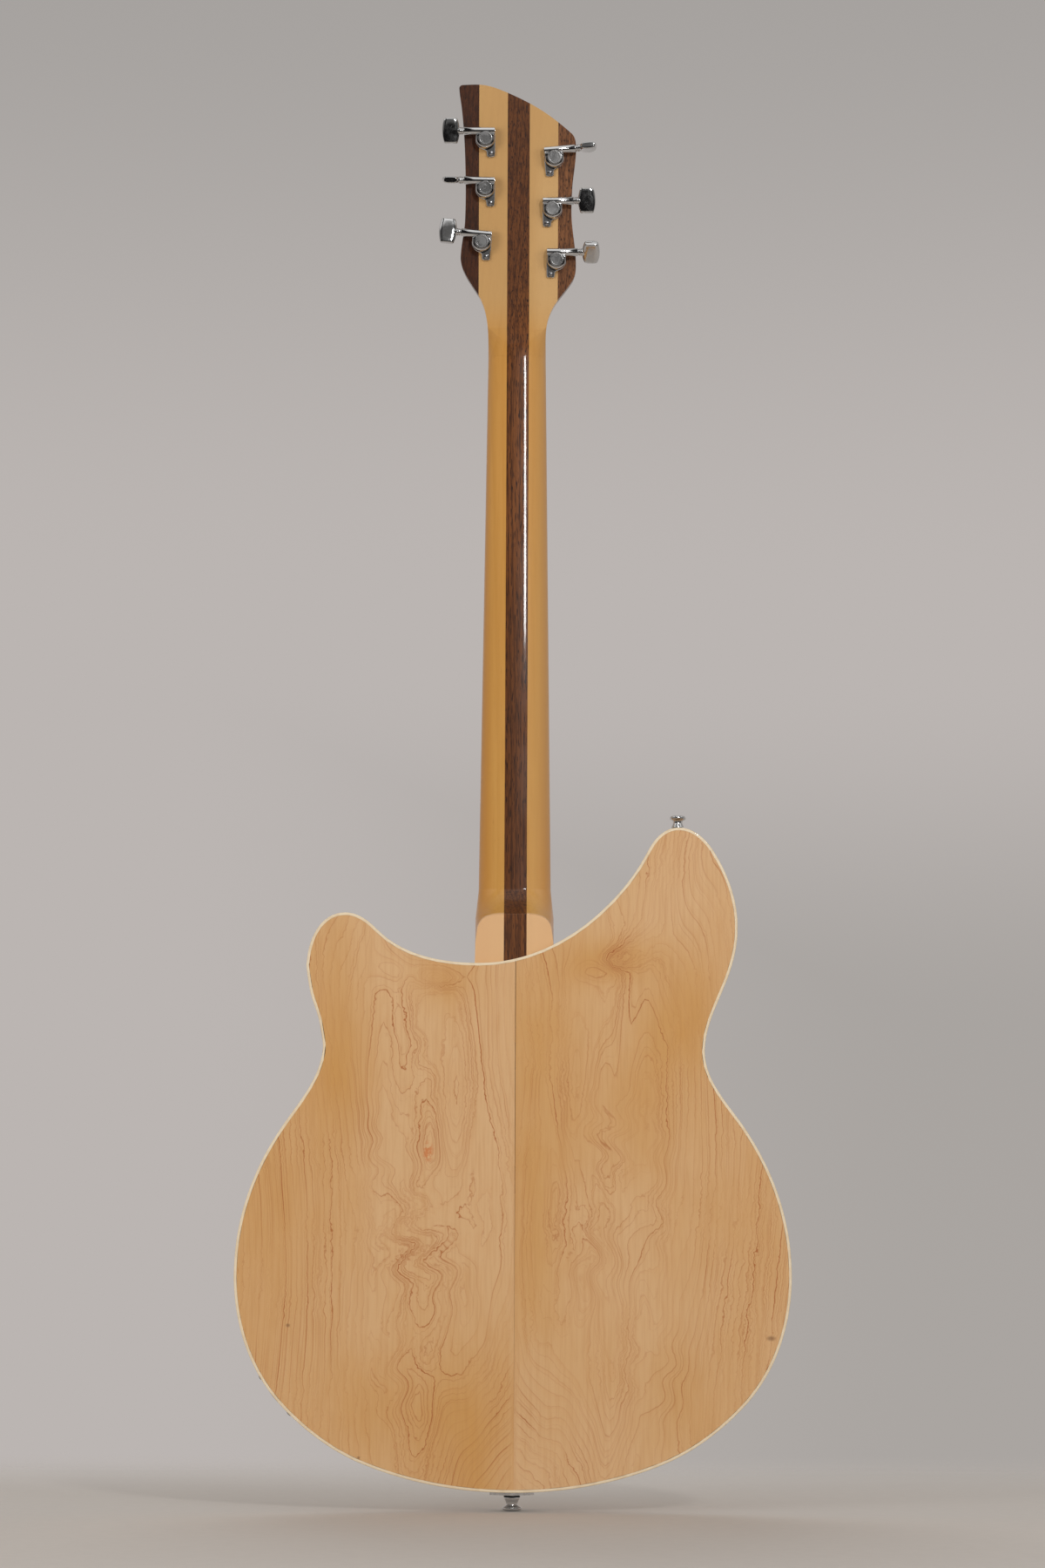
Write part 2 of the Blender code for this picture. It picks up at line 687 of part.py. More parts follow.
def rim_holes():
    """Holes and the jack plate's recess in the rim, as one cutter."""
    shape = bmesh.new()
    radius = STRAP_SCREW_RADIUS + GAP
    turned(shape, ((radius, -0.022), (radius, 0.004)), end_frame(), 12)
    turned(shape, ((radius, -0.022), (radius, 0.004)), horn_frame(), 12)
    return cutter("cut_rim_holes", shape)


def jack_recess():
    point, _, _ = rim_place(JACK_HEIGHT)
    low, high = jack_y() - JACK_PLATE_WIDTH / 2 - GAP, jack_y() + JACK_PLATE_WIDTH / 2 + GAP
    shape = rim_band(bmesh.new(), point, JACK_PLATE_LENGTH + 2 * GAP,
                     -JACK_PLATE_THICKNESS - 2 * GAP, 0.004, low, high)
    return cutter("cut_jack_recess", shape)


def jack_hole():
    shape = turned(bmesh.new(), ((JACK_RADIUS + 0.0016, -0.020), (JACK_RADIUS + 0.0016, 0.006)), jack_frame())
    return cutter("cut_jack_hole", shape)


def make_body():
    """Top and rims in one routed piece, with a ledge for the binding and a seat for the back."""
    outline = body_outline()
    levels = []
    for k in range(3):
        angle = math.pi / 2 * k / 2
        levels.append((EDGE_RADIUS * (1 - math.sin(angle)), TOP_Y + EDGE_RADIUS * (1 - math.cos(angle))))
    ledge = BACK_Y - BINDING_HEIGHT - GAP
    levels += [(0.0, ledge), (BINDING_WIDTH + GAP, ledge), (BINDING_WIDTH + GAP, SEAT_Y)]
    rings = [[Vector((p.x, y, p.y)) for p in inset(outline, step)] for step, y in levels]
    shell = piece("body_shell", loft(bmesh.new(), rings), "maple_back")
    for tool in (cavity(), front_holes(), rim_holes(), jack_recess(), jack_hole()):
        combine(shell, tool)


def make_back():
    """Two bookmatched halves inside a plastic binding."""
    plate = inset(body_outline(), BINDING_WIDTH + GAP)
    halves = (("back_half_bass", False, -GAP / 2), ("back_half_treble", True, GAP / 2))
    for name, above, step in halves:
        half = clip(plate, SEAM_X + step, above)
        piece(name, prism(bmesh.new(), half, SEAT_Y + GAP, BACK_Y), "maple_back")
    make_ring("back_binding", body_outline(), BINDING_WIDTH, BACK_Y - BINDING_HEIGHT, BACK_Y)


def make_ring(name, outline, width, low, high):
    """Closed band between an outline and its inset."""
    shape = bmesh.new()
    inner = inset(outline, width)
    loops = []
    for points, depth in ((outline, low), (outline, high), (inner, high), (inner, low)):
        loops.append([shape.verts.new((p.x, depth, p.y)) for p in points])
    for k in range(4):
        ring, following = loops[k], loops[(k + 1) % 4]
        for i in range(len(ring)):
            j = (i + 1) % len(ring)
            shape.faces.new((ring[i], ring[j], following[j], following[i]))
    return piece(name, shape, "cream_plastic")


def make_fingerboard():
    """Crowned board with its frets pressed in, and a binding round the sides and the end."""
    rings = []
    reach = BOARD_END - BOARD_BINDING - GAP
    for along in (GAP, reach):
        half = board_half_width(along) - BOARD_BINDING - GAP
        ring = [Vector((half, -GAP, -along)), Vector((-half, -GAP, -along))]
        for k in range(5):
            x = half * (k / 2 - 1)
            ring.append(Vector((x, board_top(x), -along)))
        rings.append(ring)
    board = piece("fingerboard", loft(bmesh.new(), rings), "rosewood")
    combine(board, cutter("join_frets", frets()), "UNION")
    ends = ((board_half_width(GAP), -GAP), (board_half_width(BOARD_END), -BOARD_END))
    plan = [Vector((ends[0][0], ends[0][1])), Vector((-ends[0][0], ends[0][1])),
            Vector((-ends[1][0], ends[1][1])), Vector((ends[1][0], ends[1][1]))]
    strip = piece("fingerboard_binding", prism(bmesh.new(), plan, binding_top(), -GAP), "cream_plastic")
    inner = ((ends[0][0] - BOARD_BINDING, GAP), (ends[1][0] - BOARD_BINDING, BOARD_BINDING - BOARD_END))
    plan = [Vector((inner[0][0], inner[0][1])), Vector((-inner[0][0], inner[0][1])),
            Vector((-inner[1][0], inner[1][1])), Vector((inner[1][0], inner[1][1]))]
    combine(strip, cutter("cut_binding", prism(bmesh.new(), plan, -0.02, 0.01)))


def binding_top():
    return board_top(board_half_width(BOARD_END))


def frets():
    """Round-topped bars across the board, with tangs that sink into it."""
    shape = bmesh.new()
    half = FRET_WIDTH / 2
    section = ((-half, -FRET_TANG), (-0.5 * half, FRET_HEIGHT), (0.5 * half, FRET_HEIGHT), (half, -FRET_TANG))
    for number in range(1, FRET_COUNT + 1):
        z = fret_position(number)
        reach = board_half_width(-z) - BOARD_BINDING - 3 * GAP
        rings = []
        for k in range(3):
            x = reach * (k - 1)
            rings.append([Vector((x, board_top(x) - height, z + dz)) for dz, height in section])
        loft(shape, rings)
    return shape


def string_places(spread):
    """x of each string, from the thickest on the bass side to the thinnest."""
    return [spread * (k / (STRING_COUNT - 1) - 0.5) for k in range(STRING_COUNT)]


def nut_string_y():
    return -BOARD_THICKNESS - NUT_ACTION


def bridge_string_y():
    return -BOARD_THICKNESS - BRIDGE_ACTION


def make_nut():
    """Nut with one open slot for each string."""
    half = NUT_WIDTH / 2
    top, floor = nut_string_y() - 0.0006, nut_string_y() + GAP
    profile = [Vector((-half, -GAP)), Vector((half, -GAP)), Vector((half, top + 0.0015))]
    for x, width in reversed(list(zip(string_places(NUT_STRING_SPREAD), STRING_DIAMETERS))):
        slot = width / 2 + GAP
        profile += [Vector((x + slot + 0.0006, top)), Vector((x + slot, floor))]
        profile += [Vector((x - slot, floor)), Vector((x - slot - 0.0006, top))]
    profile.append(Vector((-half, top + 0.0015)))
    rings = [[Vector((p.x, p.y, z)) for p in profile] for z in (GAP, GAP + NUT_LENGTH)]
    piece("nut", loft(bmesh.new(), rings), "bone")


def make_truss_rod():
    """Hairpin rod in its channel: two straight legs and a bend by the heel."""
    radius = ROD_DIAMETER / 2
    y = ROD_CHANNEL_DEPTH - GAP - radius
    bend = radius + GAP
    path = [(-bend, ROD_END), (-bend, -ROD_REACH)]
    path += [(-bend * math.cos(a), -ROD_REACH - bend * math.sin(a)) for a in (math.pi / 3, math.pi * 2 / 3)]
    path += [(bend, -ROD_REACH), (bend, ROD_END)]
    rings = []
    for k, (x, z) in enumerate(path):
        before, after = path[max(0, k - 1)], path[min(len(path) - 1, k + 1)]
        along = (after[0] - before[0], 0, after[1] - before[1])
        frame = axis_frame((LAMINATION_SHIFT + x, y, z), along, (0, 1, 0))
        angles = [2 * math.pi * i / 8 for i in range(8)]
        rings.append([frame @ Vector((radius * math.cos(a), radius * math.sin(a), 0)) for a in angles])
    piece("truss_rod", loft(bmesh.new(), rings), "steel")


def make_rod_cover():
    knots = [(0.0125, 0.0085, 90), (0.0110, 0.0350, 100), (0.0062, 0.0640, 96), (0.0, 0.0720, 180),
             (-0.0062, 0.0640, 264), (-0.0110, 0.0350, 260), (-0.0125, 0.0085, 270)]
    plate = prism(bmesh.new(), curve(knots, closed=False), -GAP - 0.0020, -GAP, HEAD_FRAME)
    piece("truss_rod_cover", plate, "white_plastic")


def tuner_places():
    """Number and frame of each tuner: out along the arm, up the head, off its back."""
    places = []
    for index, (x, share, tilt) in enumerate(TREBLE_POSTS + BASS_POSTS):
        side = 1 if x > 0 else -1
        out = Vector((math.cos(math.radians(tilt)), math.sin(math.radians(tilt)), 0)) * side
        up = Vector((-out.y, out.x, 0)) * side
        local = Matrix((out, up, Vector((0, 0, 1)))).transposed().to_4x4()
        local.translation = Vector((x, share * HEAD_LENGTH, HEAD_THICKNESS))
        places.append((str(index + 1), HEAD_FRAME @ local))
    return places


def ear_offset():
    """Screw of the tuner's ear, from the post."""
    return Vector((-0.0040, -0.0095, 0.0))


def arm_frame(frame):
    """Frame along the tuner's arm, third axis pointing out to the button."""
    centre = frame @ Vector((0, ARM_OFFSET, GAP + HOUSING_HEIGHT * 0.55))
    third = (frame.to_3x3() @ Vector((1, 0, 0))).normalized()
    first = (frame.to_3x3() @ Vector((0, 1, 0))).normalized()
    return axis_frame(centre, third, first)


def housing_outline():
    """Square inner corner by the arm, round lower side, and the ear for the screw."""
    r = HOUSING_REACH
    ear = ear_offset()
    knots = [(r * 0.95, ARM_OFFSET + ARM_RADIUS), (-r, ARM_OFFSET + ARM_RADIUS), (-r, -0.0035),
             (ear.x - 0.0028, ear.y + 0.0010), (ear.x - 0.0015, ear.y - 0.0027), (ear.x + 0.0015, ear.y - 0.0027),
             (ear.x + 0.0030, ear.y + 0.0015), (0.0024, -0.0060), (0.0052, -0.0038), (r * 0.95, 0.0)]
    return [Vector(k) for k in knots]


def make_tuners():
    for number, frame in tuner_places():
        make_tuner_housing(number, frame)
        make_tuner_knob(number, frame)
        post = frame @ Matrix.Translation((0, 0, -HEAD_THICKNESS))
        low, high = -POST_HEIGHT, HEAD_THICKNESS + 0.0045
        profile = ((POST_RADIUS - 0.0004, low), (POST_RADIUS, low + 0.0006), (POST_RADIUS, -0.0125),
                   (POST_WAIST, -0.0110), (POST_WAIST, -0.0055), (POST_RADIUS, -0.0040), (POST_RADIUS, high))
        piece("tuner_post_" + number, turned(bmesh.new(), profile, post), "chrome", rigid(post))


def rigid(frame):
    """The frame without mirroring, for an object's origin."""
    third = (frame.to_3x3() @ Vector((0, 0, 1))).normalized()
    first = (frame.to_3x3() @ Vector((1, 0, 0))).normalized()
    return axis_frame(frame.translation, third, first)


def make_tuner_housing(number, frame):
    """Cast gear case with its arm, bored for the post and the button's shaft."""
    case = bmesh.new()
    outline = housing_outline()
    levels = ((0.0, GAP), (0.0, HOUSING_HEIGHT - 0.0008), (0.0008, HOUSING_HEIGHT))
    rings = [[frame @ Vector((p.x, p.y, h)) for p in inset(outline, step)] for step, h in levels]
    loft(case, rings)
    housing = piece("tuner_housing_" + number, case, "chrome")
    arm = arm_frame(frame)
    barrel = turned(bmesh.new(), ((ARM_RADIUS, 0.0), (ARM_RADIUS, ARM_LENGTH - 0.0006),
                                  (ARM_RADIUS - 0.0006, ARM_LENGTH)), arm, 12)
    combine(housing, cutter("join_arm_" + number, barrel), "UNION")
    lid = turned(bmesh.new(), ((0.0058, HOUSING_HEIGHT - 0.002), (0.0058, HOUSING_HEIGHT + 0.0005),
                               (0.0050, HOUSING_HEIGHT + 0.0010)), frame, 14)
    combine(housing, cutter("join_lid_" + number, lid), "UNION")
    tube = turned(bmesh.new(), ((BUSHING_RADIUS, -HEAD_THICKNESS - 0.002), (BUSHING_RADIUS, 0.002)), frame)
    combine(housing, cutter("join_sleeve_" + number, tube), "UNION")
    holes = bmesh.new()
    bore = SHAFT_RADIUS + GAP
    turned(holes, ((bore, 0.0080), (bore, ARM_LENGTH + 0.004)), arm)
    socket = POST_RADIUS + POST_CLEARANCE
    turned(holes, ((socket, -HEAD_THICKNESS - 0.005), (socket, 0.0050)), frame)
    combine(housing, cutter("cut_housing_" + number, holes))


def make_tuner_knob(number, frame):
    """Button with collar and shaft, turned about the arm's axis."""
    arm = arm_frame(frame)
    start = ARM_LENGTH + GAP
    collar = 0.0018
    shaft = turned(bmesh.new(), ((SHAFT_RADIUS, 0.0085), (SHAFT_RADIUS, start), (0.0030, start),
                                 (0.0030, start + collar + 0.002)), arm)
    knob = piece("tuner_knob_" + number, shaft, "chrome", arm)
    turn = arm @ Matrix.Rotation(math.radians(BUTTON_TURNS[number]), 4, "Z")
    base = start + collar
    half = BUTTON_WIDTH / 2
    plan = [(0.50, 0.0), (0.47, 0.55 * half), (0.37, half)]
    corners = [(half_length, w) for half_length, w in plan] + [(-half_length, w) for half_length, w in reversed(plan)]
    corners += [(-half_length, -w) for half_length, w in plan[1:]]
    corners += [(half_length, -w) for half_length, w in reversed(plan[1:])]
    outline = [Vector((w, base + (0.5 + along) * BUTTON_LENGTH)) for along, w in corners]
    thick = BUTTON_THICKNESS / 2
    middle = Vector((0, base + BUTTON_LENGTH / 2))
    rings = []
    for share, depth in ((0.80, -thick), (1.0, -0.45 * thick), (1.0, 0.45 * thick), (0.80, thick)):
        ring = [middle + (p - middle) * share for p in outline]
        rings.append([turn @ Vector((p.x, depth, p.y)) for p in ring])
    combine(knob, cutter("join_button_" + number, loft(bmesh.new(), rings)), "UNION")


def guard_outline():
    """Plate beside the pickups and the bridge, under the controls."""
    inner = PICKUP_LENGTH / 2 + 0.0055
    bridge = BRIDGE_LENGTH / 2 + 0.0120
    end, top = -NUT_TO_END, NECK_PICKUP_Z
    knots = [
        (inner, end + 0.200, 270), (bridge, end + 0.158, 275), (bridge, end + 0.090, 270),
        (SIDE_X - 0.1025, end + 0.058, 5), (SIDE_X - 0.0425, end + 0.105, 75),
        (SIDE_X - 0.0605, end + 0.185, 115), (SIDE_X - 0.1005, end + 0.235, 118),
        (inner + 0.0305, top - 0.003, 100), (inner + 0.0185, top + 0.014, 180),
        (inner + 0.0045, top + 0.014, 180), (inner, top + 0.0095, 270),
    ]
    return curve(knots)


def make_pickguard():
    guard = piece("pickguard", prism(bmesh.new(), guard_outline(), GUARD_Y, TOP_Y - GAP), "white_plastic")
    holes = bmesh.new()
    for x, z in KNOB_PLACES + ((SWITCH_X, SWITCH_Z),):
        radius = POT_BUSHING_RADIUS + GAP
        turned(holes, ((radius, -0.02), (radius, 0.02)), front_frame(x, z))
    combine(guard, cutter("cut_guard_holes", holes))


def string_height(z):
    """y of the strings' line between nut and bridge."""
    return nut_string_y() + (bridge_string_y() - nut_string_y()) * -z / SCALE_LENGTH


def make_pickups():
    """Two single-coil pickups, each a flange with a raised cover."""
    top = TOP_Y - GAP
    for name, z in (("pickup_neck", NECK_PICKUP_Z), ("pickup_bridge", BRIDGE_PICKUP_Z)):
        height = string_height(z) + PICKUP_CLEARANCE
        flange = rounded_rectangle(PICKUP_LENGTH, PICKUP_WIDTH, 0.004, 2, (0, z))
        flange_top = top - 0.0018
        levels = ((flange, top), (flange, flange_top), (pickup_outline(z), flange_top),
                  (pickup_outline(z), height + 0.0008), (inset(pickup_outline(z), 0.0008), height))
        rings = [[Vector((p.x, y, p.y)) for p in outline] for outline, y in levels]
        piece(name, loft(bmesh.new(), rings), "black_plastic")


def make_bridge():
    """Plate on two height screws, with one saddle for each string."""
    line = bridge_string_y()
    plate_top = line + 0.0058
    plate_low = plate_top + BRIDGE_THICKNESS
    outline = rounded_rectangle(BRIDGE_LENGTH, BRIDGE_WIDTH, 0.007, 3, (0, -SCALE_LENGTH))
    plate = piece("bridge_base", prism(bmesh.new(), outline, plate_top, plate_low), "chrome")
    holes = bmesh.new()
    radius = BRIDGE_POST_RADIUS
    for side, name in ((-1, "bridge_post_bass"), (1, "bridge_post_treble")):
        frame = front_frame(side * BRIDGE_POST_SPACING / 2, -SCALE_LENGTH)
        turned(holes, ((radius + GAP, -0.02), (radius + GAP, 0.02)), frame, 12)
        wheel = -plate_low - GAP
        profile = ((radius, -TOP_Y - 0.010), (radius, wheel - 0.0016), (0.0060, wheel - 0.0016), (0.0060, wheel),
                   (radius, wheel), (radius, -plate_top + 0.0012))
        piece(name, turned(bmesh.new(), profile, frame, 12), "steel")
    combine(plate, cutter("cut_bridge_holes", holes))
    base = plate_top - GAP
    rail = 0.0012
    spread = BRIDGE_STRING_SPREAD / 2 + 0.0038
    block = box(bmesh.new(), (-spread, spread), (base - rail, base), (-SCALE_LENGTH - 0.0062, -SCALE_LENGTH + 0.0058))
    block = piece("bridge_saddle", block, "nickel")
    saddles = bmesh.new()
    for index, (x, width) in enumerate(zip(string_places(BRIDGE_STRING_SPREAD), STRING_DIAMETERS)):
        crest = line + width / 2 + GAP
        middle = -SCALE_LENGTH - 0.0004 * (index % 3)
        section = ((-0.0050, base - rail / 2), (0.0050, base - rail / 2), (0.0050, crest + 0.0022), (0.0005, crest),
                   (-0.0005, crest), (-0.0050, crest + 0.0026))
        half = 0.0036
        loft(saddles, [[Vector((x + s, y, middle + dz)) for dz, y in section] for s in (-half, half)])
    combine(block, cutter("join_saddles", saddles), "UNION")


def make_tailpiece():
    """Trapeze: a bracket bent round the body's end, two arms and the string bar."""
    end = body_outline()[0]
    low, high = TOP_Y - GAP - TAIL_PLATE, TOP_Y + TAIL_BRACKET_REACH
    bracket = rim_band(bmesh.new(), end, TAIL_BRACKET_WIDTH, GAP, GAP + TAIL_PLATE, low, high)
    tail = piece("tailpiece", bracket, "chrome")
    bar_low, bar_high = bridge_string_y() + 0.0035, TOP_Y - 0.004
    reach, foot = TAIL_BAR_WIDTH / 2, TAIL_BRACKET_WIDTH / 2
    face = (TOP_Y - GAP - TAIL_PLATE, TOP_Y - GAP)
    tab = box(bmesh.new(), (-foot + 0.001, foot - 0.001), face, (-NUT_TO_END - 0.001, 0.014 - NUT_TO_END))
    combine(tail, cutter("join_tab", tab), "UNION")
    for side, name in ((-1, "join_arm_bass"), (1, "join_arm_treble")):
        path = [(foot - 0.0035, 0.012 - NUT_TO_END, face[0], face[1] - 0.0004),
                (foot - 0.0015, 0.020 - NUT_TO_END, face[0] - 0.0006, face[1] - 0.0008),
                (reach - 0.0045, TAIL_BAR_Z + 0.001, bar_low + 0.0022, bar_low + 0.0052)]
        rings = []
        for x, z, front, back in path:
            corners = ((x - 0.0022, front), (x + 0.0022, front), (x + 0.0022, back), (x - 0.0022, back))
            rings.append([Vector((side * a, y, z)) for a, y in corners])
        combine(tail, cutter(name, loft(bmesh.new(), rings)), "UNION")
    depth = 0.009
    plan = rounded_rectangle(depth, bar_high - bar_low, 0.0018, 2, (TAIL_BAR_Z, (bar_low + bar_high) / 2))
    rings = [[Vector((x, p.y, p.x)) for p in plan] for x in (-reach, reach)]
    combine(tail, cutter("join_bar", loft(bmesh.new(), rings)), "UNION")
    holes = bmesh.new()
    level = tail_string_y()
    for x, width in zip(string_places(BRIDGE_STRING_SPREAD), STRING_DIAMETERS):
        frame = axis_frame((x, level, TAIL_BAR_Z), (0, 0, 1), (1, 0, 0))
        turned(holes, ((width / 2 + 2 * GAP, -0.02), (width / 2 + 2 * GAP, 0.02)), frame, 8)
    radius = STRAP_SCREW_RADIUS + GAP
    turned(holes, ((radius, -0.01), (radius, 0.02)), end_frame(), 12)
    combine(tail, cutter("cut_tail_holes", holes))


def tail_string_y():
    return (bridge_string_y() + 0.0035 + TOP_Y - 0.004) / 2


def make_strap_buttons():
    """Turned buttons with their screws, on felt washers."""
    places = (("end", end_frame(), STRAP_FLANGE_RADIUS, GAP + TAIL_PLATE),
              ("horn", horn_frame(), HORN_FLANGE_RADIUS, 0.0))
    for name, frame, flange, start in places:
        washer = start + GAP
        ring = sleeve(bmesh.new(), flange * 0.86, STRAP_SCREW_RADIUS + GAP, washer, washer + WASHER_THICKNESS, frame, 14)
        piece(name + "_felt_washer", ring, "felt")
        base = washer + WASHER_THICKNESS + GAP
        top = base + STRAP_BUTTON_HEIGHT - WASHER_THICKNESS
        rise = top - base
        profile = ((STRAP_SCREW_RADIUS, -0.018), (STRAP_SCREW_RADIUS, base), (flange * 0.78, base), (flange * 0.76, base + 0.10 * rise),
                   (flange * 0.62, base + 0.30 * rise), (flange * 0.60, base + 0.58 * rise),
                   (flange, base + 0.74 * rise), (flange, base + 0.88 * rise), (flange * 0.86, top))
        piece(name + "_strap_button", turned(bmesh.new(), profile, frame, 14), "chrome")


def make_jack():
    """Plate let into the rim, with the socket through its middle."""
    point, _, _ = rim_place(JACK_HEIGHT)
    low, high = jack_y() - JACK_PLATE_WIDTH / 2, jack_y() + JACK_PLATE_WIDTH / 2
    shape = rim_band(bmesh.new(), point, JACK_PLATE_LENGTH, -JACK_PLATE_THICKNESS - GAP, -GAP, low, high)
    plate = piece("jack_plate", shape, "chrome")
    frame = jack_frame()
    holes = bmesh.new()
    turned(holes, ((JACK_RADIUS + GAP, -0.01), (JACK_RADIUS + GAP, 0.01)), frame)
    for a, b in plate_screw_places():
        place = frame @ Matrix.Translation((a, b, 0))
        turned(holes, ((PLATE_HOLE_RADIUS, -0.01), (PLATE_HOLE_RADIUS, 0.01)), place, 8)
    combine(plate, cutter("cut_plate_holes", holes))
    socket = sleeve(bmesh.new(), JACK_RADIUS, JACK_BORE_RADIUS, -0.017, JACK_RISE, frame, 14)
    jack = piece("output_jack", socket, "nickel")
    nut = sleeve(bmesh.new(), JACK_NUT_RADIUS, JACK_BORE_RADIUS + 0.0006, JACK_RISE - 0.0011, JACK_RISE - 0.0002, frame, 6)
    combine(jack, cutter("join_jack_nut", nut), "UNION")


def make_controls():
    """Potentiometers on one plate under the top, each with a knob on its shaft."""
    under = -TOP_Y - TOP_THICKNESS - GAP
    bushing_top = -GUARD_Y + 0.0030
    plan = [Vector(place) for place in control_plate_corners()]
    plate = piece("control_plate", prism(bmesh.new(), plan, -under, 0.001 - under), "steel")
    holes, pots = bmesh.new(), bmesh.new()
    for index, (x, z) in enumerate(KNOB_PLACES):
        frame = front_frame(x, z)
        radius = (POT_BUSHING_RADIUS + POT_SHAFT_RADIUS) / 2
        turned(holes, ((radius, under - 0.01), (radius, under + 0.01)), frame)
        pot_body(pots, frame, under - 0.0005, bushing_top, POT_SHAFT_RADIUS + GAP)
        skirt = -GUARD_Y + 0.0006
        ceiling = bushing_top + 0.0010
        top = skirt + KNOB_HEIGHT
        profile = ((POT_SHAFT_RADIUS, under - 0.004), (POT_SHAFT_RADIUS, ceiling), (0.0062, ceiling),
                   (0.0062, skirt), (KNOB_RADIUS, skirt), (KNOB_RADIUS, skirt + 0.0025),
                   (KNOB_RADIUS * 0.84, skirt + 0.0045), (KNOB_RADIUS * 0.78, top - 0.0010), (KNOB_RADIUS * 0.70, top))
        knob = turned(bmesh.new(), profile, frame, 14)
        piece("control_knob_%d" % (index + 1), knob, "black_plastic", frame)
    combine(plate, cutter("cut_pot_holes", holes))
    combine(plate, cutter("join_pots", pots), "UNION")


def control_plate_corners():
    """Corners of the plate that carries the four potentiometers."""
    (a, b), (c, d), (e, f), (g, h) = KNOB_PLACES
    margin = POT_RADIUS + 0.002
    return ((a - margin, b), (e - margin, f), (e, f - margin), (g, h - margin), (g + margin, h),
            (c + margin, d), (c, d + margin), (a, b + margin))


def make_switch():
    """Pickup switch through the guard, with its lever on a pivot inside the bushing."""
    frame = front_frame(SWITCH_X, SWITCH_Z)
    under = -TOP_Y - TOP_THICKNESS - GAP
    mouth = -GUARD_Y + 0.0045
    piece("pickup_switch", pot_body(bmesh.new(), frame, under, mouth, 0.0030), "nickel")
    pivot = frame @ Matrix.Translation((0, 0, -TOP_Y))
    top = mouth + TOP_Y
    profile = ((LEVER_RADIUS * 0.7, -0.002), (LEVER_RADIUS * 0.85, top), (LEVER_RADIUS, top + 0.004),
               (LEVER_RADIUS * 1.9, top + LEVER_LENGTH * 0.75), (LEVER_RADIUS * 1.7, top + LEVER_LENGTH - 0.0012),
               (LEVER_RADIUS * 0.9, top + LEVER_LENGTH))
    piece("switch_lever", turned(bmesh.new(), profile, pivot, 12), "white_plastic", pivot)


def pot_body(shape, frame, under, bushing_top, hole):
    """Can with a threaded bushing, open along its axis from the bushing's mouth."""
    profile = ((POT_RADIUS, under - POT_HEIGHT), (POT_RADIUS, under), (POT_BUSHING_RADIUS, under),
               (POT_BUSHING_RADIUS, bushing_top), (hole, bushing_top), (hole, under - POT_HEIGHT * 0.6))
    return turned(shape, profile, frame)


def string_path(index):
    """Route of one string: tail bar, saddle, nut, then round its post."""
    radius = STRING_DIAMETERS[index] / 2
    nut_x = string_places(NUT_STRING_SPREAD)[index]
    bridge_x = string_places(BRIDGE_STRING_SPREAD)[index]
    posts = {0: 5, 1: 4, 2: 3, 3: 0, 4: 1, 5: 2}
    x, share, _ = (TREBLE_POSTS + BASS_POSTS)[posts[index]]
    side = 1 if x > 0 else -1
    path = [Vector((bridge_x, tail_string_y(), TAIL_BAR_Z - 0.006)),
            Vector((bridge_x, tail_string_y(), TAIL_BAR_Z + 0.006)),
            Vector((bridge_x, bridge_string_y(), -SCALE_LENGTH)),
            Vector((nut_x, nut_string_y() - radius, GAP)),
            Vector((nut_x, nut_string_y() - radius, GAP + NUT_LENGTH))]
    turns, steps = 2, 7
    wrap = (POST_WAIST + radius + GAP) / math.cos(math.pi / steps)
    pitch = 2 * radius + 0.0004
    for k in range(turns * steps + 1):
        angle = math.pi - 2 * math.pi * k / steps
        point = (x + side * wrap * math.cos(angle), share * HEAD_LENGTH + wrap * math.sin(angle))
        path.append(HEAD_FRAME @ Vector((*point, -0.0100 + pitch * k / steps)))
    return path, radius


def make_strings():
    for index in range(STRING_COUNT):
        path, radius = string_path(index)
        rings = []
        for k, point in enumerate(path):
            before, after = path[max(0, k - 1)], path[min(len(path) - 1, k + 1)]
            frame = axis_frame(point, after - before, (0, 1, 0) if k < 5 else (0, HEAD_COS, -HEAD_SIN))
            ring = []
            for i in range(4):
                angle = 2 * math.pi * i / 4
                ring.append(frame @ Vector((radius * math.cos(angle), radius * math.sin(angle), 0)))
            rings.append(ring)
        piece("string_%d" % (STRING_COUNT - index), loft(bmesh.new(), rings), "steel")


def build():
    clear_scene()
    make_body()
    make_back()
    make_ring("soundhole_binding", soundhole_outline(SOUNDHOLE_BINDING), SOUNDHOLE_BINDING,
              TOP_Y, TOP_Y + TOP_THICKNESS)
    make_neck()
    make_fingerboard()
    make_nut()
    make_truss_rod()
    make_rod_cover()
    make_tuners()
    make_pickguard()
    make_pickups()
    make_bridge()
    make_tailpiece()
    make_strap_buttons()
    make_jack()
    make_controls()
    make_switch()
    make_strings()


build()
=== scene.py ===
# %% [markdown]
# # A thin semi-hollow electric guitar, seen from behind
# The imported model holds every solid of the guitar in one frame: x runs across the body
# with the treble side at +x, z runs up the neck, and y runs from the strings to the back.
# This lesson dresses those solids in wood, metal and plastic. It starts by loading them.

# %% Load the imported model
import json
import math

import bmesh
import bpy
import numpy as np
from mathutils import Matrix, Vector

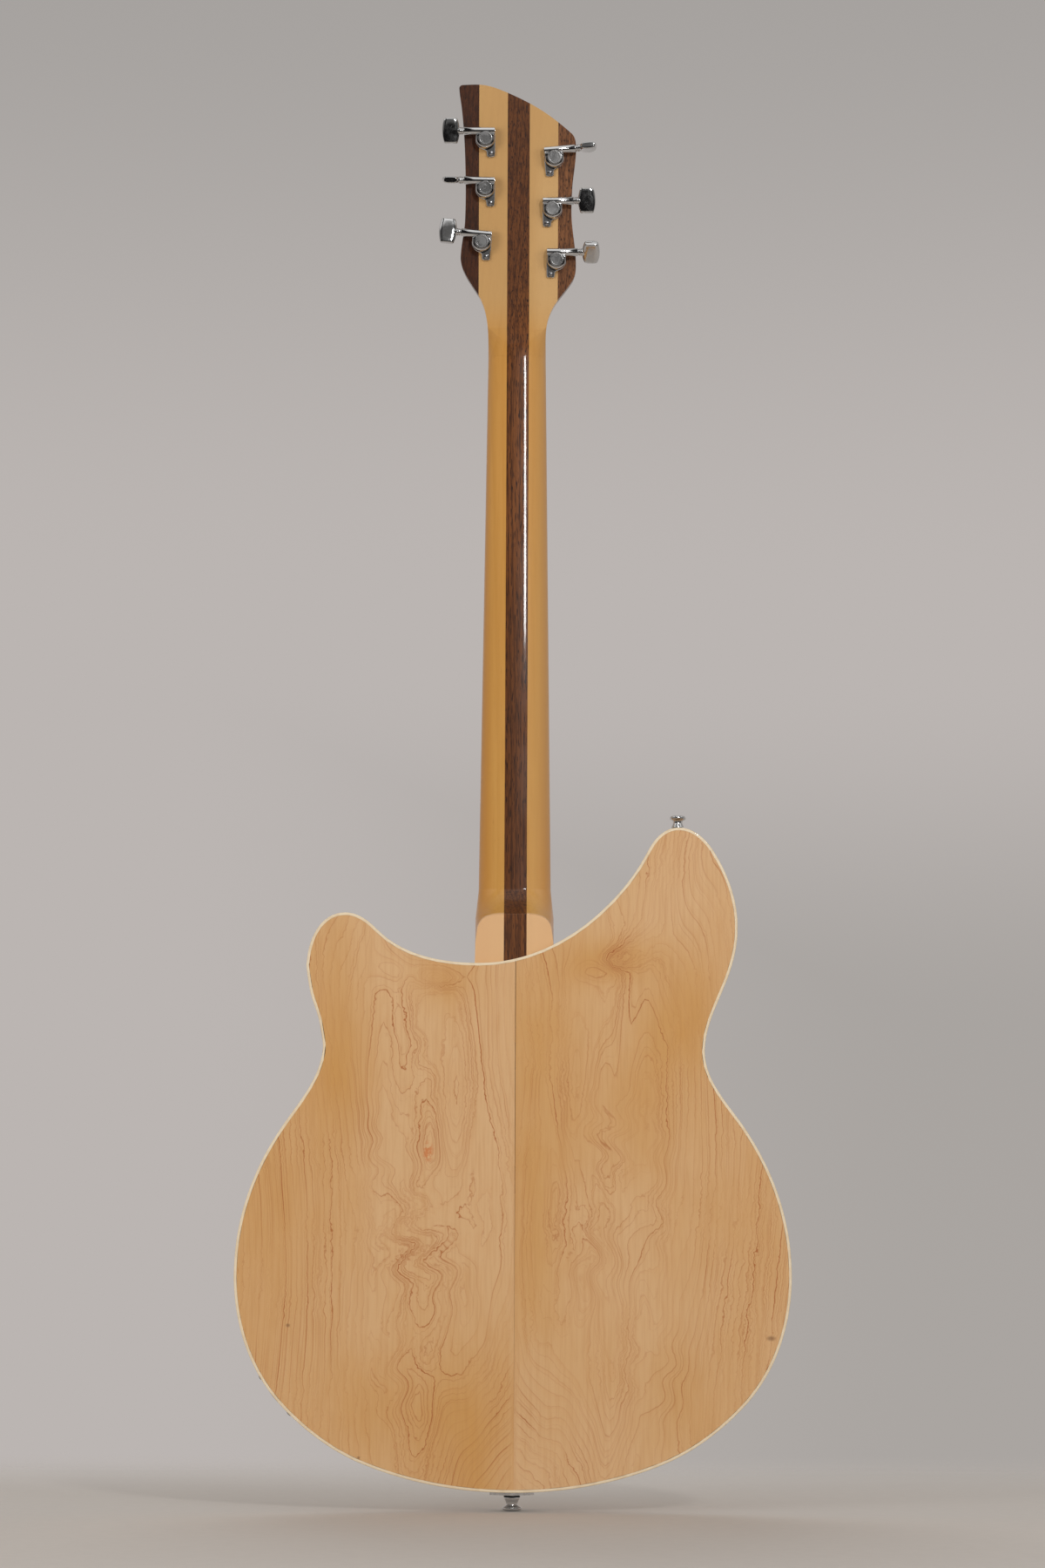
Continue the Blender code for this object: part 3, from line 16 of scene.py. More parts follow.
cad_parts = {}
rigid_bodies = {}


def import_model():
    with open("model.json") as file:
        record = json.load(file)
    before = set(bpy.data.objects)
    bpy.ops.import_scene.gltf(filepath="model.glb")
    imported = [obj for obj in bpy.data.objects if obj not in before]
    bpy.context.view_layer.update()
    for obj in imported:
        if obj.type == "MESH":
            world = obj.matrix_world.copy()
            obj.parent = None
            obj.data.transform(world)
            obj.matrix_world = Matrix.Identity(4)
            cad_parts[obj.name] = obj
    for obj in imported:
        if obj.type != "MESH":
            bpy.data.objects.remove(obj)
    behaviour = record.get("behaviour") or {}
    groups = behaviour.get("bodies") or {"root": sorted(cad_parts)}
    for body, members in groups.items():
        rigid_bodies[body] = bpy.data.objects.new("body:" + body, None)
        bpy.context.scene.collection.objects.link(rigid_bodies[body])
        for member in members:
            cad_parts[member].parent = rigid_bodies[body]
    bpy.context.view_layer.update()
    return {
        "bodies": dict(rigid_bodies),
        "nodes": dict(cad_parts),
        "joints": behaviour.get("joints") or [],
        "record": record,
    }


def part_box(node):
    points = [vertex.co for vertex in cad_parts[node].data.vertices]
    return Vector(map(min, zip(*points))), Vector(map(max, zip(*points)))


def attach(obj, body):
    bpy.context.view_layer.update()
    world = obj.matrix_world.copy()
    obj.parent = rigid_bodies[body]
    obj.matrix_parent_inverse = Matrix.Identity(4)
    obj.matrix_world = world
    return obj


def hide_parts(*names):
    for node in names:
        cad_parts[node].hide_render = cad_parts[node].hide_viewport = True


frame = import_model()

NODES = frame["nodes"]
BODY_OF = {node: body for body, nodes in frame["record"]["behaviour"]["bodies"].items() for node in nodes}
SCENE = bpy.context.scene

# %% [markdown]
# ## Sizes
# A finish has to line up with the solids below it, so the few sizes that rules depend on are
# written down once, in metres: the scale that spaces the frets, the head's tilt, the tuners.

# %% Sizes
MM = 0.001
SCALE_LENGTH, FRET_COUNT = 0.62865, 24
NUT_HALF = 0.0207
BOARD_TAPER = 0.00765 / SCALE_LENGTH
BOARD_FACE, BOARD_RADIUS, BOARD_END, BOARD_BINDING = -0.006, 0.300, 0.478, 0.0016
TOP_Y, BACK_Y = 0.004, 0.042
SEAM_X, END_Z, HEEL_Z, FLOOR_Z = -0.0012, -0.800, -0.4054, -0.8128
BINDING_WIDTH, BINDING_HEIGHT, BINDING_SEAT, BINDING_LIP = 0.0019, 0.006, 0.003, 0.003
STRIP_SEAMS = (-0.02895, -0.0085, 0.0073, 0.02775)
HEAD_TILT, HEAD_LENGTH, HEAD_THICKNESS = math.radians(10), 0.1955, 0.014
POSTS = ((0.0233, 0.7980, 0.0), (0.0233, 0.6174, 1.0), (0.0257, 0.4225, 5.0),
         (-0.0260, 0.7299, -5.0), (-0.0249, 0.5442, -1.0), (-0.0279, 0.3581, 0.0))
BUTTON_TURNS = (-4.0, 82.0, 10.0, 88.0, 6.0, 48.0)
NUT_SPREAD, BRIDGE_SPREAD = 0.035, 0.051
STRAIGHT = Matrix.Identity(4)
HEAD_FRAME = Matrix(((1, 0, 0, 0), (0, math.sin(HEAD_TILT), math.cos(HEAD_TILT), 0),
                     (0, math.cos(HEAD_TILT), -math.sin(HEAD_TILT), 0), (0, 0, 0, 1)))


def mm(*groups):
    """Groups of sizes given in millimetres, as metres."""
    return [tuple(value * MM for value in group) for group in groups]


print("scale %.1f mm, head tilted back %.0f degrees" % (SCALE_LENGTH / MM, math.degrees(HEAD_TILT)))


# %% [markdown]
# ## Small tools for node trees
# Materials and Geometry Nodes are both trees of nodes. Building them in code is easy to read
# when one short call adds a node, sets its options and fills or links its inputs.

# %% Colours as seen in a picture
def rgb(*shown):
    """Linear colour from the 0 to 255 values that a picture shows."""
    values = [v / 255 for v in shown]
    return (*[v / 12.92 if v <= 0.04045 else ((v + 0.055) / 1.055) ** 2.4 for v in values], 1.0)


print("a mid grey of 128 is", round(rgb(128, 128, 128)[0], 3), "as light")


# %% Trees with short calls
class Net:
    """A node tree. Each call adds a node and gives back what the node puts out."""

    def __init__(self, tree):
        self.tree = tree

    def fill(self, sockets, values):
        """Link a socket that is given another one; fill in any other value."""
        for key, value in values.items():
            if isinstance(value, bpy.types.NodeSocket):
                self.tree.links.new(value, sockets[key])
            else:
                sockets[key].default_value = value

    def add(self, kind, inputs=None, **options):
        made = self.tree.nodes.new(kind)
        for option, value in options.items():
            setattr(made, option, value)
        self.fill(made.inputs, inputs or {})
        return made.outputs

    def math(self, operation, *values, clamp=False):
        return self.add("ShaderNodeMath", dict(enumerate(values)), operation=operation, use_clamp=clamp)[0]

    def mul(self, a, b):
        return self.math("MULTIPLY", a, b)

    def sub(self, a, b):
        return self.math("SUBTRACT", a, b)

    def most(self, a, b):
        return self.math("MAXIMUM", a, b)

    def madd(self, a, b, c, clamp=False):
        """a times b plus c."""
        return self.math("MULTIPLY_ADD", a, b, c, clamp=clamp)

    def split(self, vector):
        return self.add("ShaderNodeSeparateXYZ", {0: vector})

    def scaled(self, vector, *factors):
        """Stretch coordinates: a small factor along z draws marks out along the grain."""
        return self.add("ShaderNodeVectorMath", {0: vector, 1: factors}, operation="MULTIPLY")[0]

    def noise(self, *values):
        """Noise from a vector, a scale, and if need be a detail, roughness and distortion."""
        titles = ("Vector", "Scale", "Detail", "Roughness", "Distortion")
        return self.add("ShaderNodeTexNoise", dict(zip(titles, values)))["Fac"]

    def dice(self, number):
        """A fixed random value for each whole number."""
        return self.add("ShaderNodeTexWhiteNoise", {"W": number}, noise_dimensions="1D")[0]

    def ramp(self, value, low, high, to_low=0.0, to_high=1.0):
        """Smooth step from one range of values to another."""
        inputs = {"Value": value, "From Min": low, "From Max": high, "To Min": to_low, "To Max": to_high}
        return self.add("ShaderNodeMapRange", inputs, interpolation_type="SMOOTHSTEP")[0]

    def blend(self, factor, a, b):
        return self.add("ShaderNodeMix", {0: factor, 6: a, 7: b}, data_type="RGBA")[2]

    def tint(self, base, mask, strength, tone):
        """Blend a tone into a colour where a mask says so."""
        return self.blend(self.mul(mask, strength), base, tone)

    def bump(self, height, distance, strength):
        relief = self.add("ShaderNodeBump", {"Height": height, "Distance": distance, "Strength": strength})[0]
        self.fill(self.tree.nodes["Principled BSDF"].inputs, {"Normal": relief})


print("short calls:", [name for name in dir(Net) if not name.startswith("_")])


# %% Node groups
def new_group(name, kind, inputs, outputs):
    """An empty node group. A number gives an input its kind and value, a word its kind alone."""
    net = Net(bpy.data.node_groups.new(name, kind))
    for title, value in inputs.items():
        word = {float: "Float", int: "Int"}.get(type(value), value)
        made = net.tree.interface.new_socket(title, in_out="INPUT", socket_type="NodeSocket" + word)
        if word != value:
            made.default_value = value
    for title in outputs:
        word = "Geometry" if title == "Geometry" else "Float"
        net.tree.interface.new_socket(title, in_out="OUTPUT", socket_type="NodeSocket" + word)
    net.given, net.result = net.add("NodeGroupInput"), net.tree.nodes.new("NodeGroupOutput").inputs
    return net


print("node groups can be made")


# %% [markdown]
# ## Shared surface effects
# Wood keeps the same few marks whatever its colour: growth lines, fine streaks along the
# grain, and open pores. They are made once as a group of nodes that puts out masks, and each
# wood mixes its own colours with them. Marks of handling are a second group, for lacquer,
# plastic and plated metal alike.

# %% Long grain
GRAIN = {"Line Spacing": 0.004, "Wander": 0.01, "Streak Scale": 500.0, "Pore Scale": 1400.0, "Pore Cover": 0.3}
WEAR = {"Smudge Scale": 30.0, "Scratch Scale": 60.0}


def make_long_grain():
    masks = ("Lines", "Streaks", "Pores", "Tone")
    net = new_group("long_grain", "ShaderNodeTree", {"Vector": "Vector", **GRAIN}, masks)
    place, spacing, wander, streaks, pores, cover = [net.given[title] for title in ("Vector", *GRAIN)]
    drawn_out = net.scaled(place, 1, 1, 0.10)
    axes = net.split(place)
    swing = net.mul(net.sub(net.noise(drawn_out, 22.0, 3.0), 0.5), wander)
    ring = net.math("DIVIDE", net.math("ADD", net.madd(axes[1], 0.45, axes[0]), swing), spacing)
    share = net.math("FRACT", ring)
    late = net.mul(net.ramp(share, 0.45, 0.97), net.ramp(share, 1.0, 0.975))
    cells = net.noise(net.scaled(place, 1, 1, 0.07), pores, 1.0)
    open_cells = net.sub(cells, net.sub(0.80, net.mul(cover, 0.45)))
    net.fill(net.result, {
        "Lines": net.mul(late, net.madd(net.dice(net.math("FLOOR", ring)), 0.75, 0.25)),
        "Streaks": net.noise(net.scaled(place, 1, 1, 0.045), streaks, 4.0, 0.65),
        "Pores": net.math("DIVIDE", open_cells, 0.06, clamp=True),
        "Tone": net.noise(drawn_out, 30.0)})
    return net.tree


LONG_GRAIN = make_long_grain()
print(LONG_GRAIN.name, "is drawn from", list(GRAIN))


# %% Marks of handling
def make_handling_marks():
    masks = ("Smudges", "Scratches", "Dust")
    net = new_group("handling_marks", "ShaderNodeTree", {"Vector": "Vector", **WEAR}, masks)
    place, smudge, scratch = [net.given[title] for title in ("Vector", *WEAR)]
    lines = []
    for angle in (0.5, 2.1):
        turned = net.add("ShaderNodeVectorRotate", {"Vector": place, "Angle": angle}, rotation_type="Y_AXIS")[0]
        thin = net.scaled(turned, 1, 1, 0.03)
        lines.append(net.ramp(net.noise(thin, net.mul(scratch, 12.0), 0.0), 0.735, 0.77))
    here = net.ramp(net.noise(place, scratch, 1.0), 0.5, 0.7)
    net.fill(net.result, {
        "Smudges": net.ramp(net.noise(place, smudge, 4.0, 0.6, 0.6), 0.38, 0.72),
        "Scratches": net.mul(net.most(*lines), here),
        "Dust": net.ramp(net.noise(place, net.mul(smudge, 60.0), 0.0), 0.78, 0.82)})
    return net.tree


HANDLING_MARKS = make_handling_marks()
print(HANDLING_MARKS.name, "is ready")


class Finish(Net):
    """A material whose constant values sit on the shader's own sockets."""

    def __init__(self, name, roughness, metallic=0.0, coat=0.0, coat_roughness=0.05, gloss=0.5):
        self.made = bpy.data.materials.new(name)
        self.made.use_nodes = True
        super().__init__(self.made.node_tree)
        self.target = self.tree.nodes["Principled BSDF"].inputs
        self.fill(self.target, {"Roughness": roughness, "Metallic": metallic, "Coat Weight": coat,
                                "Coat Roughness": coat_roughness, "Specular IOR Level": gloss})
        self.place = self.add("ShaderNodeTexCoord")["Object"]

    def marks(self, group, titles, values):
        return self.add("ShaderNodeGroup", {"Vector": self.place, **dict(zip(titles, values))}, node_tree=group)


# %% [markdown]
# ## Lacquered woods
# Neck, head, fingerboard and the rims are cut along the grain, so their lines run up the neck.
# A solid wood could be painted from a picture, but a picture slides over the edges. Here the
# grain is a rule in space, so it runs through each strip, over its edges and down its sides.

# %% Woods cut along the grain
def wood(name, tones, grain, lines, streaks, coat=0.6, roughness=0.4):
    """A wood from its light, dark and pore tones and the five values of its grain."""
    net = Finish(name, roughness, coat=coat, coat_roughness=0.06, gloss=0.25)
    light, dark, pore = [rgb(*tone) for tone in tones]
    marks = net.marks(LONG_GRAIN, GRAIN, grain)
    base = net.tint(light, net.ramp(marks["Tone"], 0.3, 0.7), 0.5, dark)
    base = net.tint(base, net.ramp(marks["Streaks"], 0.42, 0.70), streaks, dark)
    base = net.tint(base, marks["Lines"], lines, dark)
    net.base = net.blend(marks["Pores"], base, pore)
    smudges = net.marks(HANDLING_MARKS, WEAR, (16.0, 40.0))["Smudges"]
    net.fill(net.target, {"Base Color": net.base, "Roughness": net.madd(smudges, 0.12, roughness - 0.05)})
    net.bump(net.sub(net.mul(marks["Streaks"], 0.3), marks["Pores"]), 0.00004, 0.35)
    return net


WALNUT_TONES = (("walnut", (118, 68, 28), (56, 27, 9)), ("walnut_dark_wing", (84, 44, 20), (42, 19, 7)),
                ("walnut_light_wing", (134, 86, 50), (70, 38, 18)))
WALNUT, WALNUT_DARK, WALNUT_LIGHT = [
    wood(name, (light, dark, (40, 19, 8)), (0.0032, 0.014, 620.0, 1700.0, 0.46), 0.7, 0.9, 0.35, 0.45).made
    for name, light, dark in WALNUT_TONES]
ROSEWOOD = wood("rosewood", ((82, 48, 34), (43, 24, 18), (22, 12, 10)),
                (0.0026, 0.012, 700.0, 1700.0, 0.5), 0.6, 0.9, 0.0, 0.5).made
MAPLE_RIM = wood("maple_rim", ((200, 158, 108), (176, 124, 70), (170, 120, 70)),
                 (0.0075, 0.035, 420.0, 1500.0, 0.12), 0.55, 0.25).made
print("woods:", WALNUT.name, WALNUT_DARK.name, WALNUT_LIGHT.name, ROSEWOOD.name, MAPLE_RIM.name)


# %% Amber maple of the neck with painted shade along its rounded edges, paler on the head, the bass side and the flat heel
def make_neck_maple():
    net = wood("maple_neck", ((200, 151, 80), (178, 127, 60), (166, 114, 56)),
               (0.0052, 0.010, 520.0, 1400.0, 0.10), 0.4, 0.35, 0.35)
    x, y, z = net.split(net.place)
    # Painted shade: the maple darkens to amber where the neck's edges round over, up to the head's flare. The
    # rise in amber towards the nut is a colour change of the wood.
    edge = net.mul(net.ramp(net.math("ABSOLUTE", x), 0.0125, 0.0225), net.ramp(z, 0.050, 0.015))
    amber_and_edge_shade = net.most(net.mul(edge, 0.75), net.ramp(z, -0.40, -0.04, 0.0, 0.45))
    neck = net.blend(amber_and_edge_shade, net.base, rgb(180, 122, 52))
    head = net.blend(0.60, net.base, rgb(182, 146, 100))
    base = net.blend(net.ramp(z, 0.0, 0.045), neck, head)
    bass_side = net.mul(net.ramp(x, -0.006, -0.020), net.ramp(z, 0.17, 0.10, 0.0, 0.18))
    base = net.blend(bass_side, base, rgb(225, 190, 140))
    heel = net.mul(net.ramp(y, 0.0335, 0.0352), net.ramp(z, -0.398, -0.404))
    net.fill(net.target, {"Base Color": net.blend(heel, base, net.blend(0.80, base, rgb(216, 174, 130)))})
    return net.made


MAPLE_NECK = make_neck_maple()
print(MAPLE_NECK.name, "is ready")

# %% [markdown]
# ## The bookmatched back
# The back is one board sawn in two and opened like a book, so its figure is mirrored at the
# seam. Flat-sawn maple shows where growth layers surface: long lines near the edges, loops
# over each swell in the middle. A noise texture can't be placed that exactly. Instead each
# half is a fine mesh that carries the height of the growth layers as an attribute, and the
# material draws the level lines of that height, the way a map draws contours.

# %% Height of the growth layers
# Each swell is a place across and along, a width, a length, a height and a lean, in millimetres
HALF_SWELLS = (
    (48, -655, 9, 48, 2.6, 0.03), (40, -525, 8, 46, -2.3, 0.0), (62, -565, 8, 60, 2.2, -0.03),
    (8, -815, 72, 84, 8.0, 0.0), (86, -690, 9, 75, 1.5, 0.05), (78, -490, 9, 60, 1.6, 0.06),
    (92, -580, 9, 80, -1.2, 0.0), (122, -375, 22, 60, 2.0, 0.35), (66, -740, 9, 50, -1.8, 0.1),
    (30, -600, 7, 60, 1.1, 0.0), (110, -640, 8, 60, 0.7, 0.0))
TREBLE_SWELLS = (
    (53, -451, 10, 6, 4.5, 0.2), (66, -446, 26, 10, 2.0, 0.5), (84, -630, 8, 40, 1.6, 0.1),
    (70, -615, 7, 36, -1.4, 0.0), (72, -690, 9, 30, 1.3, 0.2), (56, -700, 8, 26, 1.5, -0.3),
    (57, -566, 5, 16, 2.2, 0.0))
BASS_SWELLS = (
    (70, -438, 9, 7, 5.0, 0.4), (84, -430, 14, 12, 2.6, 0.6), (56, -446, 14, 6, -2.4, 0.0),
    (60, -622, 8, 62, -2.4, -0.06), (26, -640, 7, 70, 1.2, 0.0), (84, -770, 20, 50, 1.2, 0.2),
    (38, -690, 8, 34, 1.4, 0.1), (50, -656, 7, 22, 2.4, 0.1))
# Each zigzag is a half, a place across and along, a width, a length, a swing and a pitch
ZIGZAGS = (
    (1, 62, -628, 30, 34, 11.0, 27), (1, 88, -590, 14, 46, 4.0, 21), (1, 64, -500, 14, 40, 3.0, 30),
    (-1, 64, -560, 20, 26, 6.0, 25), (-1, 54, -640, 22, 30, 5.0, 34), (-1, 92, -610, 16, 60, 3.5, 29),
    (1, 84, -720, 20, 40, 5.0, 31), (-1, 96, -720, 20, 40, 4.0, 27))
LAYER_COUNT = 1.6


def swells(u, z, shapes):
    """Sum of long soft bumps."""
    total = np.zeros_like(u)
    for across, along, width, length, height, lean in shapes:
        far = (u - across - lean * (z - along)) / width
        total += height * np.exp(-far ** 2 - ((z - along) / length) ** 2)
    return total


def wave(u, z, across, along, phase):
    return np.sin(2 * np.pi * (u / across + z / along) + phase)


def growth_height(x, z):
    """Height of the growth layers at a point of the back, all in millimetres."""
    side = np.where(x > SEAM_X / MM, 1.0, -1.0)
    u = np.abs(x - SEAM_X / MM)
    for half, across, along, width, length, swing, pitch in ZIGZAGS:
        here = np.exp(-((u - across) / width) ** 2 - ((z - along) / length) ** 2)
        u = u + np.where(side == half, swing, 0.0) * here * np.sin(2 * np.pi * z / pitch + u / 15)
    heart = 56 + 7 * np.sin((z + 600) / 85) + 5 * side * np.sin((z + 500) / 60)
    off = (u - heart) / 30
    height = np.where(off < 0, 1.15, 1.25) * off ** 2 / (1 + 0.05 * np.abs(off) ** 1.7)
    height += swells(u, z, HALF_SWELLS)
    height += np.where(side > 0, swells(u, z, TREBLE_SWELLS), swells(u, z, BASS_SWELLS))
    near = 0.3 + np.exp(-(off / 1.3) ** 2)
    height += 0.30 * near * (wave(u, z, 110, 260, 0.4 + side * 0.5) + wave(u, z, -70, 170, 1.9 + side * 0.3))
    height += 0.12 * near * (wave(u, z, 34, 120, 2.2 - side) + wave(u, z, -26, 80, 0.7 + side))
    return LAYER_COUNT * height


print("height at one point of the back:", growth_height(np.array([90.0]), np.array([-600.0])).round(2))

# %% Golden and pale areas of the back
TREBLE_GOLD = ((186, -620, 50, 130, 0.8, 0.0), (122, -505, 26, 70, 0.9, 0.0), (46, -452, 24, 22, 0.7, 0.0),
               (30, -770, 46, 70, 0.9, 0.0), (170, -420, 40, 60, 0.5, 0.0), (110, -745, 60, 50, 0.5, 0.0))
BASS_GOLD = ((14, -520, 34, 110, 0.85, 0.0), (14, -640, 20, 70, 0.7, 0.0), (68, -438, 30, 16, 1.0, 0.3),
             (120, -470, 28, 46, 0.9, 0.0), (92, -540, 40, 90, 0.6, -0.1), (170, -600, 34, 110, 0.5, 0.0),
             (120, -740, 60, 50, 0.5, 0.0))


def gold_share(x, z):
    u = np.abs(x - SEAM_X / MM)
    return np.clip(np.where(x > SEAM_X / MM, swells(u, z, TREBLE_GOLD), swells(u, z, BASS_GOLD)), 0, 1)


print("golden areas:", len(TREBLE_GOLD), "on the treble half,", len(BASS_GOLD), "on the bass half")


# %% Contour lines as a group
CONTOUR = {"Height": 0.0, "Slope": 0.0, "Width": 0.4, "Faintest": 0.4}


def make_contours():
    """Thin lines where a height passes whole numbers, each with its own strength."""
    net = new_group("contours", "ShaderNodeTree", CONTOUR, ("Line", "After"))
    height, slope, width, faintest = [net.given[title] for title in CONTOUR]
    steep = net.most(slope, 0.03)
    away = net.math("DIVIDE", net.math("PINGPONG", height, 0.5), net.mul(steep, width))
    line = net.math("EXPONENT", net.mul(net.mul(away, away), -1.0))
    weight = net.math("ADD", net.math("POWER", net.dice(net.math("ROUND", height)), 2.0), faintest)
    after = net.math("DIVIDE", net.math("FRACT", height), net.mul(steep, -2.6))
    net.fill(net.result, {"Line": net.mul(line, weight), "After": net.math("EXPONENT", after)})
    return net.tree


CONTOURS = make_contours()
print(CONTOURS.name, "is ready")


# %% Finish of the back
KNOT = (58.4, -570.3, 5.0, 10.0)
SPECKS = ((-176.0, -696.0, 4.5, 2.4), (153.0, -688.5, 2.2, 1.8), (104.0, -777.0, 1.5, 1.5))


def spot(net, x, z, width, length):
    """Soft round mask at one point of the back, sizes in millimetres."""
    flat = net.scaled(net.place, 1 / (width * MM), 0.0, 1 / (length * MM))
    inputs = {0: flat, 1: (x / width, 0.0, z / length)}
    return net.ramp(net.add("ShaderNodeVectorMath", inputs, operation="DISTANCE")["Value"], 1.0, 0.2)


def make_back_maple():
    net = Finish("maple_back", 0.4, coat=0.4, coat_roughness=0.08, gloss=0.3)
    place = net.place
    figure, slope, gold = [net.add("ShaderNodeAttribute", attribute_name=name)["Fac"]
                           for name in ("figure", "slope", "gold")]
    coarse = net.sub(net.noise(net.scaled(place, 1, 1, 0.7), 100.0), 0.5)
    fine = net.sub(net.noise(place, 330.0), 0.5)
    patchy = net.ramp(net.noise(place, 22.0, 1.0), 0.38, 0.62, 0.12, 1.0)
    height = net.madd(net.mul(net.madd(coarse, 8.0, net.mul(fine, 3.6)), patchy), slope, figure)
    main, between = [net.add("ShaderNodeGroup", dict(zip(CONTOUR, values)), node_tree=CONTOURS) for values in (
        (height, slope, 0.30, 0.25), (net.madd(height, 2.6, 0.4), net.mul(slope, 2.6), 0.25, 0.05))]
    seam = net.math("ABSOLUTE", net.sub(net.split(place)[0], SEAM_X))
    fade = net.ramp(net.noise(net.scaled(place, 1, 1, 0.5), 33.0, 1.0), 0.3, 0.7, 0.3, 1.25)
    fade = net.mul(fade, net.ramp(seam, 0.0004, 0.006, 0.15, 1.0))
    line = net.mul(net.madd(between["Line"], 0.5, main["Line"]), fade)
    marks = net.marks(LONG_GRAIN, GRAIN, (0.02, 0.0, 520.0, 1500.0, 0.14))
    cloud = net.sub(net.noise(net.scaled(place, 1, 1, 0.45), 20.0, 4.0, 0.6), 0.5)
    golden = net.madd(cloud, 1.1, net.mul(gold, 0.85), clamp=True)
    base = net.blend(golden, rgb(205, 165, 120), rgb(193, 143, 80))
    base = net.tint(base, main["After"], 0.16, rgb(190, 132, 74))
    base = net.tint(base, line, 0.85, rgb(160, 92, 46))
    base = net.tint(base, net.ramp(marks["Streaks"], 0.40, 0.72), 0.26, rgb(178, 124, 70))
    base = net.tint(base, marks["Pores"], 0.30, rgb(156, 104, 60))
    knot = net.mul(spot(net, *KNOT), net.ramp(net.noise(place, 420.0), 0.40, 0.60))
    base = net.tint(base, knot, 0.7, rgb(190, 100, 40))
    for speck in SPECKS:
        base = net.tint(base, spot(net, *speck), 0.55, rgb(96, 62, 40))
    wear = net.marks(HANDLING_MARKS, WEAR, (14.0, 35.0))
    net.fill(net.target, {"Base Color": base, "Roughness": net.madd(wear["Smudges"], 0.14, 0.34)})
    net.bump(net.sub(net.mul(cloud, 2.0), net.mul(wear["Scratches"], 0.6)), 0.00005, 0.4)
    return net.made


MAPLE_BACK = make_back_maple()
print(MAPLE_BACK.name, "is ready")


# %% [markdown]
# ## Metal, plastic, bone and felt
# Plated parts are bright but never clean: fingers leave dull patches, and small scratches
# catch the light. Plastics are the same, only softer. Each finish starts from one colour and
# takes its dullness from the handling marks.

# %% Plated metal
def plated(name, tone, roughness, smudge):
    net = Finish(name, roughness, metallic=1.0)
    wear = net.marks(HANDLING_MARKS, WEAR, (110.0, 160.0))
    darker = (*[v * 0.62 for v in rgb(*tone)[:3]], 1.0)
    base = net.tint(rgb(*tone), wear["Smudges"], smudge, darker)
    rough = net.madd(wear["Smudges"], 0.16, roughness)
    net.fill(net.target, {"Base Color": net.tint(base, wear["Dust"], 0.35, darker),
                          "Roughness": net.madd(wear["Scratches"], 0.15, rough)})
    net.bump(net.mul(wear["Scratches"], -1.0), 0.00001, 0.5)
    return net.made


CHROME = plated("chrome", (214, 214, 214), 0.06, 0.25)
NICKEL = plated("nickel", (205, 199, 187), 0.16, 0.35)
STEEL = plated("steel", (178, 178, 180), 0.28, 0.40)
LID = plated("tuner_lid", (172, 171, 170), 0.24, 0.45)
WINDING_PITCH = 0.00028


def make_wound():
    made = NICKEL.copy()
    made.name = "wound_string"
    net = Net(made.node_tree)
    along = net.split(net.add("ShaderNodeTexCoord")["Object"])[2]
    net.bump(net.math("SINE", net.mul(along, 2 * math.pi / WINDING_PITCH)), 0.00006, 0.8)
    return made


WOUND = make_wound()
print("metals:", CHROME.name, NICKEL.name, STEEL.name, LID.name, WOUND.name)


# %% Plastics, bone and felt
def plastic(name, tone, worn, roughness, coat=0.0, mottle=0.35):
    net = Finish(name, roughness, coat=coat)
    wear = net.marks(HANDLING_MARKS, WEAR, (42.0, 90.0))
    cloud = net.ramp(net.noise(net.place, 160.0, 4.0, 0.6), 0.4, 0.7)
    base = net.tint(rgb(*tone), cloud, mottle, rgb(*worn))
    rough = net.madd(wear["Smudges"], 0.14, roughness)
    net.fill(net.target, {"Base Color": net.tint(base, wear["Dust"], 0.3, rgb(*worn)),
                          "Roughness": net.madd(wear["Scratches"], 0.2, rough)})
    net.bump(net.madd(cloud, 0.4, net.mul(wear["Scratches"], -1.0)), 0.00002, 0.5)
    return net.made


def make_felt():
    net = Finish("felt", 0.95)
    tufts = net.noise(net.place, 1800.0, 5.0, 0.7)
    tone = net.blend(net.ramp(tufts, 0.35, 0.65), rgb(24, 24, 25), rgb(58, 57, 56))
    net.fill(net.target, {"Base Color": tone})
    net.bump(tufts, 0.0003, 0.9)
    return net.made


CREAM = plastic("cream_plastic", (222, 203, 172), (196, 166, 124), 0.38, coat=0.3)
WHITE = plastic("white_plastic", (226, 224, 216), (205, 200, 188), 0.28)
BLACK = plastic("black_plastic", (30, 30, 31), (52, 51, 50), 0.34)
BONE = plastic("bone", (226, 218, 196), (200, 186, 152), 0.42, mottle=0.6)
FELT = make_felt()
print("others:", CREAM.name, WHITE.name, BLACK.name, BONE.name, FELT.name)


# %% [markdown]
# ## From solids to finished pieces
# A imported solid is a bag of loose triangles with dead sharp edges. For the eye, each one is
# copied, its triangles are joined, its flat places become single faces again, and its edges
# are rounded a little, because no real edge is perfectly sharp. The copy then rides on the
# same body and stands for the solid.

# %% Helpers for finished pieces
def joined_copy(node):
    """A copy of a solid with its triangles joined and its flat places merged."""
    shape = bmesh.new()
    shape.from_mesh(NODES[node].data)
    bmesh.ops.remove_doubles(shape, verts=shape.verts, dist=2e-6)
    bmesh.ops.dissolve_limit(shape, angle_limit=math.radians(0.6), verts=shape.verts, edges=shape.edges)
    return shape


def mesh_of(name, shape):
    mesh = bpy.data.meshes.new(name)
    shape.to_mesh(mesh)
    shape.free()
    return mesh


def placed(name, mesh):
    made = bpy.data.objects.new(name, mesh)
    SCENE.collection.objects.link(made)
    return made


def as_piece(name, mesh, finish, body="guitar", stands_for=None, crease=40.0):
    """Show a mesh as a smooth piece that rides on a body and takes its finish from a slot."""
    mesh.shade_smooth()
    mesh.set_sharp_from_angle(angle=math.radians(crease))
    made = placed(name, mesh)
    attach(made, body)
    if stands_for:
        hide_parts(stands_for)
    return made


